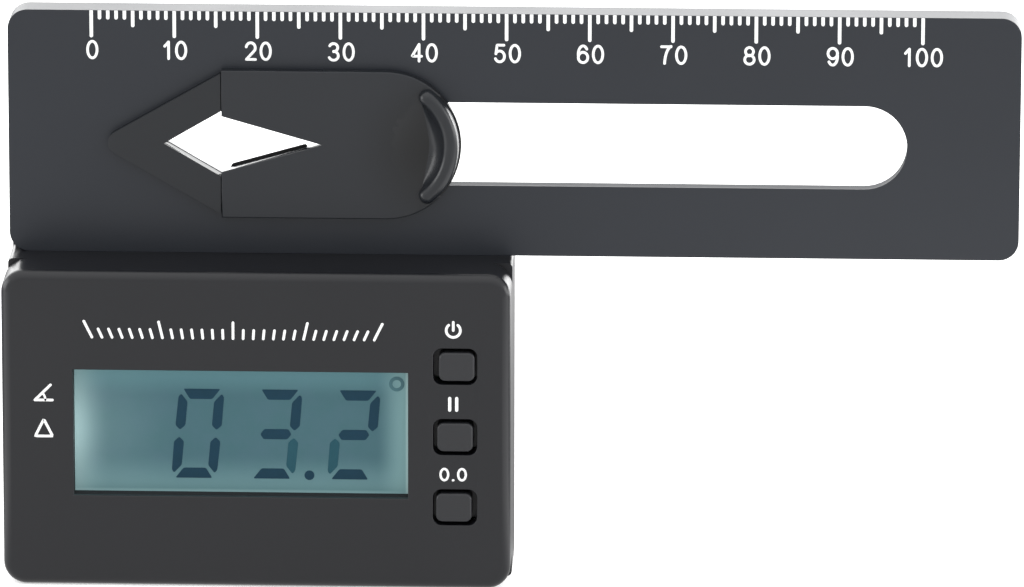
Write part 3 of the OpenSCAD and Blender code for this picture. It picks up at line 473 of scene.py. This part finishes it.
# Thumb ridge: the raised lip along the sliding jaw's round end, moulded with the jaw and rubbed to a gloss.
# Its outer side is drafted, its inner side runs down in a hollow curve into the scoop, and both ends are
# domed.
RIDGE_RIM = 0.3
RIDGE_HALF = 0.95
RIDGE_WALL = 0.4
RIDGE_ANGLE = 50
RIDGE_SKIN = 0.03
RIDGE_SLOPE = 69
RIDGE_DRAFT = 0.15
RIDGE_FOOT = 1.9
RIDGE_SINK = 0.02
RIDGE_ROOT = 0.2
SCOOP_RADIUS = 6.5
SCOOP_DEPTH = 0.9


def ridge_surface(around=(64, 17), crown=12, foot=8):
    """Points of the ridge: closed loops round the middle of the end arc, from the crest down to the foot.

    A loop at distance d is the arc moved out by d, a half circle of radius d, the arc moved in by d and
    another half circle. Over the crown d and the height follow an ellipse as far as RIDGE_SLOPE. From there
    the outer side runs straight down to the face, and the inner side in a parabola down to the scoop's
    surface, whose reach fades out towards the ends.
    """
    middle = end_radius - RIDGE_RIM - RIDGE_HALF
    half = np.radians(RIDGE_ANGLE)
    along = np.linspace(-half, half, around[0])
    cap = np.linspace(0, np.pi, around[1])[1:-1]
    base = np.concatenate([along, np.full(len(cap), half), along[::-1], np.full(len(cap), -half)])
    facing = np.concatenate([np.zeros(len(along)), cap, np.full(len(along), np.pi), cap + np.pi])
    inner = (1 - np.cos(facing)) / 2

    sweep = np.linspace(0.05, np.radians(RIDGE_SLOPE), crown)
    t = np.append(np.linspace(0, 1, foot)[1:], 1)
    crown_d = (RIDGE_HALF + RIDGE_SKIN) * np.sin(sweep)
    crown_height = RIDGE_WALL + (RIDGE_RISE + RIDGE_SKIN - RIDGE_WALL) * np.cos(sweep)
    run = RIDGE_DRAFT + (RIDGE_FOOT - RIDGE_DRAFT) * inner * (1 - np.abs(base / half) ** 3)
    d = np.concatenate([np.repeat(crown_d[:, None], len(base), axis=1), crown_d[-1] + t[:, None] * run])
    x = end_x + middle * np.cos(base) + d * np.cos(base + facing)
    z = slot_z + middle * np.sin(base) + d * np.sin(base + facing)
    ball = (SCOOP_RADIUS ** 2 + SCOOP_DEPTH ** 2) / (2 * SCOOP_DEPTH)
    scoop_x = end_x + middle - RIDGE_HALF
    hollow = np.maximum(SCOOP_DEPTH - ((x - scoop_x) ** 2 + (z - slot_z) ** 2) / (2 * ball), 0)
    ground = -hollow - RIDGE_SINK
    fall = t[:, None] + inner * (t - t ** 2)[:, None]
    height = np.empty_like(d)
    height[:crown] = crown_height[:, None]
    height[crown:] = crown_height[-1] + (ground[crown:] - crown_height[-1]) * fall
    height[-1] = -SCOOP_DEPTH - RIDGE_ROOT
    return np.stack([x, jaw_face - height, z], axis=-1)[None]


ridge_abs = moulded_black("rubbed_black_abs", ("#1d2024", "#191b1f"), grain_depth_mm=0.002,
                          roughness=(0.25, 0.33))
ridge = grid_piece("thumb_ridge", [(ridge_surface(), False)], "slider", ridge_abs)
weighted_shading(ridge)

# Screws and the slider's leaf spring: zinc-plated and spring steel, both bright with a faint drawn grain.
# The screws are driven from behind, and the leaf presses on the slot's lower wall.


def coated(name, pale, dark, grain_mm, roughness, depth_mm, **sockets):
    """A plain finish with its own grain: colour, gloss and height all follow one noise grain_mm across."""
    material, tree, shader, place = bare_material(name)
    noise = add(tree, "TexNoise", {"Vector": place, "Scale": 1 / (grain_mm * MM), "Detail": 4.0})
    grain = noise.outputs["Fac"]
    colour = add(tree, "Mix", {0: grain, 6: linear(dark), 7: linear(pale)}, data_type="RGBA")
    gloss = add(tree, "MapRange", {"Value": grain, "To Min": roughness[0], "To Max": roughness[1]})
    lift = add(tree, "Bump", {"Height": grain, "Distance": depth_mm * MM, "Strength": 1.0})
    tree.links.new(colour.outputs[2], shader.inputs["Base Color"])
    tree.links.new(gloss.outputs["Result"], shader.inputs["Roughness"])
    tree.links.new(lift.outputs["Normal"], shader.inputs["Normal"])
    for socket, value in sockets.items():
        shader.inputs[socket.replace("_", " ")].default_value = value
    return material


def finish_nodes(material, *names):
    """Gives CAD nodes a material in their own slots."""
    for name in names:
        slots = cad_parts[name].data.materials
        slots.clear()
        slots.append(material)


zinc_steel = coated("zinc_plated_steel", "#c9cacb", "#9c9ea2", 0.5, (0.22, 0.38), 0.004, Metallic=1.0)
finish_nodes(zinc_steel, "fixed_jaw_screw", "keeper_screws", "ruler_screws", "case_screws", "board_screws",
             "slider_spring")

# Case: a deep front shell with the window and the key holes, a rear cover with the flange behind the ruler,
# and a battery door that slides in the cover. All three are moulded in satin black ABS, and the mould leaves
# the window's walls dull.
CASE_EDGE = 0.15
WINDOW_ROUGHNESS = 0.9
WINDOW_DEPTHS = np.array([[0.4, 0.6], [3.0, 2.5]])
WINDOW_REACH_X = ((-54, -53.5), (-10.5, -11))
WINDOW_REACH_Z = ((9.5, 10.5), (28.5, 27.8))
case_abs = moulded_black("satin_black_abs_case", ("#17181c", "#131418"), grain_mm=0.4, roughness=(0.26, 0.34))
shell_lo, shell_hi = box_mm("front_shell")
shell_face = shell_lo[1]
cover_hi = box_mm("rear_cover")[1]
window_walls = [("Y", *ramp) for ramp in shell_face + WINDOW_DEPTHS]
window_walls += [("Z", *ramp) for ramp in WINDOW_REACH_Z] + [("X", *ramp) for ramp in WINDOW_REACH_X]
walls_finished(case_abs, WINDOW_ROUGHNESS, *window_walls)
edge_broken("front_shell", "front_shell_body", "casing", case_abs, [shell_face], CASE_EDGE)
edge_broken("rear_cover", "rear_cover_body", "casing", case_abs, [cover_hi[1]], CASE_EDGE)
edge_broken("battery_door", "battery_door_body", "door", case_abs, [cover_hi[1]], CASE_EDGE)

# Case print: generic marks in white ink. A fan of strokes above the window stands for tilt, an angle and a
# triangle on the left for the two readings, and a power sign, two bars and a nought for the keys.
PRINT_STROKE = 0.32
FAN_X = (-50.2, -16.2)
FAN_Z = 32.2
FAN_STROKES = 29
FAN_LONG_EVERY = 7
FAN_HEIGHTS = (2.3, 1.35)
FAN_SPREAD = 26
MODE_X = -56.1
ANGLE_Z = 24.35
ANGLE_LEG = 0.8
ANGLE_ARC = 1.2
ANGLE_TURN = 42
TRIANGLE_Z = 19.84
MODE_SIZE = 2.1
LABEL_X = -6.7
LABEL_SIZE = (1.2, 1.7)
LABEL_STROKE = 0.28
LABEL_SPACING = 0.3
POWER_Z = 32.5
POWER_RADIUS = 0.85
POWER_RING = (130, 410)
POWER_RISE = 1.2
HOLD_Z = 23.3
HOLD_APART = 0.42
HOLD_HALF = 0.7
ZERO_Z = 14.5
lettering("zero_label", [("0.0", LABEL_X, ZERO_Z)], LABEL_SIZE, LABEL_STROKE, LABEL_SPACING, shell_face,
          "casing", scale_white)
ring = arc(LABEL_X, POWER_Z, POWER_RADIUS, POWER_RADIUS, *POWER_RING)
upright = evenly([(LABEL_X, POWER_Z), (LABEL_X, POWER_Z + POWER_RADIUS * POWER_RISE)], 4)
power_sign = [(stroke_films([path], PRINT_STROKE, shell_face, False), False) for path in (ring, upright)]
grid_piece("power_label", power_sign, "casing", scale_white)

fan_x = np.linspace(*FAN_X, FAN_STROKES)
fan_place = np.linspace(-1, 1, FAN_STROKES)
fan_lean = np.tan(np.radians(FAN_SPREAD) * fan_place)
from_middle = np.abs(np.arange(FAN_STROKES) - FAN_STROKES // 2)
fan_high = np.where(from_middle % FAN_LONG_EVERY == 0, *FAN_HEIGHTS) - PRINT_STROKE
fan_foot = FAN_Z - FAN_HEIGHTS[0] / 2 + PRINT_STROKE / 2
rise = np.linspace(0, 1, 3) * fan_high[:, None]
fan = np.stack([fan_x[:, None] + fan_lean[:, None] * rise, fan_foot + rise], axis=-1)
half = MODE_SIZE / 2
triangle = np.array([(-half, -half), (half, -half), (0, half), (-half, -half)]) + [MODE_X, TRIANGLE_Z]
triangle = evenly(triangle, 31)[:-1]
legs = [[(half, -half), (-half, -half)], [(-half, -half), (half * ANGLE_LEG, half * ANGLE_LEG)]]
legs = [evenly(np.array(leg) + [MODE_X, ANGLE_Z], 4) for leg in legs]
turn = arc(MODE_X - half, ANGLE_Z - half, half * ANGLE_ARC, half * ANGLE_ARC, 0, ANGLE_TURN)
bars = [[(LABEL_X + side, HOLD_Z - half * HOLD_HALF), (LABEL_X + side, HOLD_Z + half * HOLD_HALF)]
        for side in (-HOLD_APART, HOLD_APART)]
marks = [(stroke_films(fan, PRINT_STROKE, shell_face, False), False),
         (stroke_films([triangle], PRINT_STROKE, shell_face, True), True),
         (stroke_films(legs, PRINT_STROKE, shell_face, False), False),
         (stroke_films([turn], PRINT_STROKE * 0.8, shell_face, False), False),
         (stroke_films(bars, PRINT_STROKE * 1.2, shell_face, False), False)]
grid_piece("case_marks", marks, "casing", scale_white)

# Keys: three caps in black ABS that stand a little out of the face, each on its switch's plunger.
# They keep their solids' shape, in a paler tone and a finer grain than the case.
key_abs = moulded_black("satin_black_abs_key", ("#26272a", "#222326"), grain_mm=0.3)
finish_nodes(key_abs, "power_button", "hold_button", "zero_button")

# Display glass: a reflective liquid crystal cell lit from a lamp at its left end, so that the grey-green
# field is palest there. It is paler along its rims too, and thin pale lines along its lower and right rims
# are painted highlights of the window's edges. It is held in a frame behind the window.
WINDOW_X = (-52.55, -12.15)
WINDOW_Z = (11.4, 27.1)
FIELD_TONES = ("#335559", "#3c5761")
FIELD_CLOUDS = 2.5
LAMP_TONE = "#9dbcbd"
WIDE_GLOW = (14, 0.12)
NEAR_GLOW = (5.0, 2.6, 0.96)
BEAM = (8, 0.45)
DISPLAY_GLOW = 0.35
# Each rim is the axis, where its tone starts and where it is full, and the tone
RIMS = [("Z", WINDOW_Z[0] + 5, WINDOW_Z[0], "#557579"),
        ("Z", WINDOW_Z[1] - 4, WINDOW_Z[1], "#4c7177"),
        ("X", WINDOW_X[1] - 4, WINDOW_X[1], "#698a8c"),
        # The last two rims are thin painted highlights: the window's lower and right edges reflected on the
        # glass.
        ("Z", WINDOW_Z[0] + 0.45, WINDOW_Z[0] + 0.15, "#6d8c8f"),
        ("X", WINDOW_X[1] - 0.5, WINDOW_X[1] - 0.2, "#86a1a1")]


def lit_field(name):
    """Polariser film over a lit liquid crystal cell: a grey teal field that pales towards lamp and rims.

    Each rim's mask is a smooth ramp of the place on the glass and mixes in the tone at that rim. The lamp's
    glow is a wide smooth ramp plus a near one, raised to a power, and weakens away from the beam's middle.
    """
    material, tree, shader, place = bare_material(name)
    split = add(tree, "SeparateXYZ", {"Vector": place})
    clouds = add(tree, "TexNoise", {"Vector": place, "Scale": 1 / (FIELD_CLOUDS * MM), "Detail": 2.0})
    field = add(tree, "Mix", {0: clouds.outputs["Fac"], 6: linear(FIELD_TONES[0]), 7: linear(FIELD_TONES[1])},
                data_type="RGBA").outputs[2]
    for axis, start, full, tone in RIMS:
        mask = add(tree, "MapRange", {"Value": split.outputs[axis], "From Min": start * MM,
                                      "From Max": full * MM}, interpolation_type="SMOOTHSTEP")
        field = add(tree, "Mix", {0: mask.outputs["Result"], 6: field, 7: linear(tone)},
                    data_type="RGBA").outputs[2]
    left = WINDOW_X[0] * MM
    wide_reach, wide_level = WIDE_GLOW
    near_reach, near_power, near_level = NEAR_GLOW
    beam_half, beam_rim = BEAM
    wide = add(tree, "MapRange", {"Value": split.outputs["X"], "From Min": left + wide_reach * MM,
                                  "From Max": left, "To Max": wide_level}, interpolation_type="SMOOTHSTEP")
    near = add(tree, "MapRange", {"Value": split.outputs["X"], "From Min": left + near_reach * MM,
                                  "From Max": left})
    near = add(tree, "Math", {0: near.outputs["Result"], 1: near_power}, operation="POWER")
    lamp_side = add(tree, "Math", {0: near.outputs[0], 1: near_level, 2: wide.outputs["Result"]},
                    operation="MULTIPLY_ADD")
    off_middle = add(tree, "Math", {0: split.outputs["Z"], 1: sum(WINDOW_Z) / 2 * MM}, operation="SUBTRACT")
    off_middle = add(tree, "Math", {0: off_middle.outputs[0]}, operation="ABSOLUTE")
    beam = add(tree, "MapRange", {"Value": off_middle.outputs[0], "From Min": 0.0, "From Max": beam_half * MM,
                                  "To Min": 1.0, "To Max": beam_rim}, interpolation_type="SMOOTHSTEP")
    glow = add(tree, "Math", {0: lamp_side.outputs[0], 1: beam.outputs["Result"]}, operation="MULTIPLY")
    field = add(tree, "Mix", {0: glow.outputs[0], 6: field, 7: linear(LAMP_TONE)},
                data_type="RGBA").outputs[2]
    tree.links.new(field, shader.inputs["Base Color"])
    tree.links.new(field, shader.inputs["Emission Color"])
    shader.inputs["Emission Strength"].default_value = DISPLAY_GLOW
    shader.inputs["Roughness"].default_value = 0.3
    shader.inputs["Specular IOR Level"].default_value = 0.2
    return material


finish_nodes(lit_field("lit_lcd_polariser"), "lcd_glass")

# Display segments: the dark blue figures 03.2 with their point and a faint degree ring, as films on the
# glass. Outer segments are mitred, the middle one is a hexagon, and two segments switch weakly.
DIGIT_LEFT = -40.97
DIGIT_FOOT = 13.13
DIGIT_PITCH = 9.43
DIGIT_SIZE = (5.6, 11.16)
DIGIT_SLANT = math.tan(math.radians(5.4))
SEGMENT = 1.27
SEGMENT_ROUND = 0.22
POINT_PLACE = (-24.17, 13.6)
POINT_RADIUS = 0.6
DEGREE_PLACE = (-13.6, 25.15)
DEGREE_RADIUS = 0.72
DEGREE_STROKE = 0.42


def rounded(corners, r):
    """Outline with its corners rounded: each becomes a quadratic curve between points r away from it."""
    corner = np.asarray(corners, dtype=float)
    back = np.roll(corner, 1, axis=0) - corner
    ahead = np.roll(corner, -1, axis=0) - corner
    start = corner + back * (r / np.linalg.norm(back, axis=1, keepdims=True))
    stop = corner + ahead * (r / np.linalg.norm(ahead, axis=1, keepdims=True))
    t = np.linspace(0, 1, 5)[None, :, None]
    curve = (1 - t) ** 2 * start[:, None] + 2 * t * (1 - t) * corner[:, None] + t ** 2 * stop[:, None]
    return curve.reshape(-1, 2)


def film(outline, y):
    """A flat outline (x, z) as a thin prism on the plane at depth y."""
    sheets = [np.insert(outline, 1, depth, axis=1) for depth in (y - INK, y + INK)]
    return (np.array([sheets]), False)


def segment_corners(width, height):
    """Corners of the seven segments, named a to g as usual, in a digit's upright field.

    The top, the upper left and the middle one are given, and the others mirror them across or down.
    """
    side = SEGMENT * 0.94
    mitre = 0.57
    inner = 1.45
    tip = 0.92
    shoulder = 1.35
    waist_z = height / 2
    rise = SEGMENT / 2
    top = np.array([(mitre, height), (inner, height - SEGMENT), (width - inner, height - SEGMENT),
                    (width - mitre, height)])
    left = np.array([(0.05, height - 1.0), (0.35, height - 0.62), (side, height - 1.62),
                     (side, waist_z + 1.02), (side / 2, waist_z + 0.44), (0, waist_z + 1.02)])
    waist = np.array([(tip, waist_z), (shoulder, waist_z + rise), (width - shoulder, waist_z + rise),
                      (width - tip, waist_z), (width - shoulder, waist_z - rise), (shoulder, waist_z - rise)])
    right = left * [-1, 1] + [width, 0]
    down = np.array([1, -1]), np.array([0, height])
    lower_right, bottom, lower_left = (shape * down[0] + down[1] for shape in (right, top, left))
    return {"a": top, "b": right, "c": lower_right, "d": bottom, "e": lower_left, "f": left, "g": waist}


def lcd_dye(name, pale, dark):
    """Dye in a liquid crystal cell behind the polariser: an even dark tone with a low gloss."""
    return coated(name, pale, dark, 1.5, (0.3, 0.36), 0.0, Specular_IOR_Level=0.2)


glass_face = box_mm("lcd_glass")[0][1]
lit = []
faint = []
for place, (full, weak) in enumerate([("abcdef", ""), ("abdg", "c"), ("abdg", "e")]):
    for letter, corners in segment_corners(*DIGIT_SIZE).items():
        if letter in full + weak:
            outline = rounded(corners, SEGMENT_ROUND)
            outline[:, 0] += DIGIT_LEFT + place * DIGIT_PITCH + outline[:, 1] * DIGIT_SLANT
            outline[:, 1] += DIGIT_FOOT
            (lit if letter in full else faint).append(film(outline, glass_face))
lit.append(film(arc(*POINT_PLACE, POINT_RADIUS, POINT_RADIUS, 0, 360)[:-1], glass_face))
degree = arc(*DEGREE_PLACE, DEGREE_RADIUS, DEGREE_RADIUS, 0, 360)[:-1]
degree = [(stroke_films([degree], DEGREE_STROKE, glass_face, True), True)]
grid_piece("display_segments", lit, "casing", lcd_dye("dark_lcd_segment", "#0c3347", "#07303e"))
grid_piece("display_segments_weak", faint, "casing",
           lcd_dye("weak_lcd_segment", "#1e4955", "#194752"))
grid_piece("display_degree", degree, "casing", lcd_dye("faint_lcd_segment", "#486e76", "#446a71"))

# Behind the glass: a clear acrylic light guide, the lamp at its left end, a white frame and a striped rubber
# strip that joins the glass to the board. The frame keeps them in place between the window and the board.
acrylic = coated("frosted_acrylic", "#f2f6f6", "#e2eaea", 0.5, (0.4, 0.6), 0.006)
finish_nodes(acrylic, "lcd_backlight")
lamp_resin = coated("white_lamp_resin", "#fbf6e0", "#f0e7c4", 0.4, (0.25, 0.4), 0.004)
finish_nodes(lamp_resin, "backlight_lamp")
white_abs = coated("white_abs_frame", "#e4e4e0", "#d6d6d2", 0.6, (0.45, 0.55), 0.004)
finish_nodes(white_abs, "lcd_frame")
rubber = coated("striped_silicone_rubber", "#4a4a4a", "#1c1c1c", 0.2, (0.6, 0.8), 0.004)
finish_nodes(rubber, "zebra_strip")

# Main board: green solder mask on fibreglass, screwed to the front shell, with the switches under the keys.
# The parts soldered to it are moulded resin, a plated can, fired ceramic and nylon, each with its own grain.
solder_mask = coated("green_solder_mask", "#1f5c38", "#174a2c", 1.2, (0.3, 0.45), 0.01)
finish_nodes(solder_mask, "main_board")
epoxy = coated("black_epoxy_resin", "#1d1d1f", "#111113", 0.8, (0.2, 0.35), 0.02)
finish_nodes(epoxy, "controller_cap")
chip_resin = coated("moulded_chip_resin", "#2a2a2c", "#1e1e20", 0.15, (0.5, 0.65), 0.006)
finish_nodes(chip_resin, "tilt_sensor", "resistors")
nickel_can = coated("nickel_plated_can", "#cfcfca", "#aaa9a3", 0.4, (0.2, 0.35), 0.002, Metallic=1.0)
finish_nodes(nickel_can, "crystal")
ceramic = coated("tan_ceramic", "#b99a6b", "#a3855a", 0.2, (0.4, 0.55), 0.003)
finish_nodes(ceramic, "capacitors")
switch_nylon = coated("black_switch_nylon", "#262628", "#1a1a1c", 0.3, (0.4, 0.55), 0.006)
finish_nodes(switch_nylon, "switch_bodies")
plunger_nylon = coated("grey_plunger_nylon", "#8d8f90", "#7b7d7e", 0.3, (0.4, 0.5), 0.004)
finish_nodes(plunger_nylon, "power_plunger", "hold_plunger", "zero_plunger")

# Coin cell and its contacts: a drawn stainless can with an even satin face, between two sprung strips.
# The strips are nickel plated: one bears on the can's side, the other rises from the board to its cap.
cell_steel = coated("stainless_cell_can", "#b9babc", "#aeb0b2", 0.25, (0.24, 0.3), 0.0004, Metallic=1.0)
finish_nodes(cell_steel, "battery_cell")
nickel_strip = coated("nickel_contact_strip", "#c8c2b4", "#a59f90", 0.4, (0.2, 0.34), 0.002, Metallic=1.0)
finish_nodes(nickel_strip, "positive_contact", "negative_contact")

# Stage: a plain pale floor under a soft even studio light, with the camera where the photograph was taken.
# In glossy reflections the floor has glow levels of its own, painted reflections with none of the case's
# shadow in them: in front of the case, beside it, behind it and in a bright patch at the back right. Lengths
# are in mm, angles in degrees.
FLOOR_HALF = 4000
FLOOR_GLOW = 0.4
FRONT_LEVEL = 1.04
BESIDE_LEVEL = 2.0
BEHIND_LEVEL = 0.5
PATCH_LEVEL = 4.0
BESIDE_X = (38, 62)
BESIDE_Y = (-130, -90)
BEHIND_Y = (0, 15)
PATCH_X = (30, 70)
PATCH_Y = (60, 110)
PAPER_FIBRE = 2
SKY_LEVELS = (0.9, 1.7)
# Each panel is its size, its place, its turn and its radiance
PANELS = {
    "back_panel": ((3000, 1300), (0, 1300, 660), (-90, 0, 0), 2.9),
    "strip_panel": ((500, 400), (1100, 960, 260), (-90, 0, -49), 11.0),
    "right_panel": ((450, 900), (1000, 0, 235), (0, 90, 0), 4.0),
    "left_panel": ((450, 900), (-1000, 0, 235), (0, -90, 0), 3.4),
}
CAMERA_AZIMUTH = 1.81
CAMERA_ELEVATION = 14.87
CAMERA_DISTANCE = 1180
CAMERA_ROLL = 0.13
FRAME_WIDTH = 1024
FOCAL_PIXELS = 9750
LOOK_AT = np.array([0.04, 1.5, 34.57])


def seen_directly(tree):
    """Adds a value that is 1 where the camera sees a surface itself or through something clear, else 0."""
    ray = add(tree, "LightPath").outputs
    seen = add(tree, "Math", {0: ray["Is Camera Ray"], 1: ray["Is Transmission Ray"]}, operation="MAXIMUM")
    return seen.outputs[0]


studio = bpy.data.worlds.new("white_studio")
bpy.context.scene.world = studio
studio.use_nodes = True
sky = studio.node_tree
background = sky.nodes["Background"]
up = add(sky, "SeparateXYZ", {"Vector": add(sky, "TexCoord").outputs["Generated"]}).outputs["Z"]
light = add(sky, "MapRange", {"Value": up, "To Min": SKY_LEVELS[0], "To Max": SKY_LEVELS[1]})
level = add(sky, "Mix", {0: seen_directly(sky), 2: light.outputs["Result"], 3: 1.0})
sky.links.new(level.outputs[0], background.inputs["Strength"])
background.inputs["Color"].default_value = linear("#ffffff")

paper, tree, shader, place = bare_material("pale_paper_floor")
glow = add(tree, "Math", {0: seen_directly(tree), 1: FLOOR_GLOW}, operation="MULTIPLY")
split = add(tree, "SeparateXYZ", {"Vector": place}).outputs
case_middle = (shell_lo[0] + shell_hi[0]) / 2
aside = add(tree, "Math", {0: split["X"], 1: case_middle * MM}, operation="SUBTRACT")
aside = add(tree, "Math", {0: aside.outputs[0]}, operation="ABSOLUTE").outputs[0]
masks = []
for value, (none_at, full_at), fade in [(aside, BESIDE_X, "SMOOTHSTEP"), (split["Y"], BESIDE_Y, "SMOOTHSTEP"),
                                        (split["X"], PATCH_X, "LINEAR"), (split["Y"], PATCH_Y, "LINEAR"),
                                        (split["Y"], BEHIND_Y, "LINEAR")]:
    mask = add(tree, "MapRange", {"Value": value, "From Min": none_at * MM, "From Max": full_at * MM},
               interpolation_type=fade)
    masks.append(mask.outputs["Result"])
beside = add(tree, "Math", {0: masks[0], 1: masks[1]}, operation="MULTIPLY")
patch = add(tree, "Math", {0: masks[2], 1: masks[3]}, operation="MULTIPLY")
mirrored = add(tree, "Mix", {0: beside.outputs[0], 2: FRONT_LEVEL, 3: BESIDE_LEVEL})
mirrored = add(tree, "Mix", {0: masks[4], 2: mirrored.outputs[0], 3: BEHIND_LEVEL})
mirrored = add(tree, "Mix", {0: patch.outputs[0], 2: mirrored.outputs[0], 3: PATCH_LEVEL})
# Painted reflection: for glossy rays the floor is black and glows at the levels above, without the case's
# shadow.
in_gloss = add(tree, "LightPath").outputs["Is Glossy Ray"]
glow = add(tree, "Mix", {0: in_gloss, 2: glow.outputs[0], 3: mirrored.outputs[0]})
fibre = add(tree, "TexNoise", {"Vector": place, "Scale": 1 / (PAPER_FIBRE * MM)})
tone = add(tree, "Mix", {0: fibre.outputs["Fac"], 6: linear("#f0f0f0"), 7: linear("#f4f4f4")},
           data_type="RGBA")
tone = add(tree, "Mix", {0: in_gloss, 6: tone.outputs[2], 7: linear("#000000")}, data_type="RGBA")
tree.links.new(tone.outputs[2], shader.inputs["Base Color"])
tree.links.new(glow.outputs[0], shader.inputs["Emission Strength"])
shader.inputs["Emission Color"].default_value = linear("#ffffff")
shader.inputs["Roughness"].default_value = 0.9
shader.inputs["Specular IOR Level"].default_value = 0.0

corner = np.array([[-1, -1, 0], [1, -1, 0], [1, 1, 0], [-1, 1, 0]]) * FLOOR_HALF * MM
floor_mesh = bpy.data.meshes.new("studio_floor")
floor_mesh.from_pydata(corner.tolist(), [], [[0, 1, 2, 3]])
floor_mesh.materials.append(paper)
floor = bpy.data.objects.new("studio_floor", floor_mesh)
bpy.context.collection.objects.link(floor)

for name, (size, place, turn, radiance) in PANELS.items():
    panel_light = bpy.data.lights.new(name, "AREA")
    panel_light.shape = "RECTANGLE"
    panel_light.size = size[0] * MM
    panel_light.size_y = size[1] * MM
    panel_light.energy = radiance * math.pi * panel_light.size * panel_light.size_y
    panel = bpy.data.objects.new(name, panel_light)
    panel.location = np.array(place) * MM
    panel.rotation_euler = np.radians(turn)
    panel.visible_camera = False
    bpy.context.collection.objects.link(panel)

azimuth = math.radians(CAMERA_AZIMUTH)
elevation = math.radians(CAMERA_ELEVATION)
away = np.array([math.sin(azimuth) * math.cos(elevation), -math.cos(azimuth) * math.cos(elevation),
                 math.sin(elevation)])
lens = bpy.data.cameras.new("photo_camera")
lens.sensor_fit = "HORIZONTAL"
lens.sensor_width = 36
lens.lens = FOCAL_PIXELS / FRAME_WIDTH * lens.sensor_width
camera = bpy.data.objects.new("photo_camera", lens)
camera.location = (LOOK_AT + away * CAMERA_DISTANCE) * MM
aim = Euler((math.pi / 2 - elevation, 0, azimuth)).to_quaternion()
camera.rotation_euler = (aim @ Quaternion((0, 0, 1), math.radians(CAMERA_ROLL))).to_euler()
bpy.context.collection.objects.link(camera)
bpy.context.scene.camera = camera

bpy.context.scene.view_settings.view_transform = "Standard"
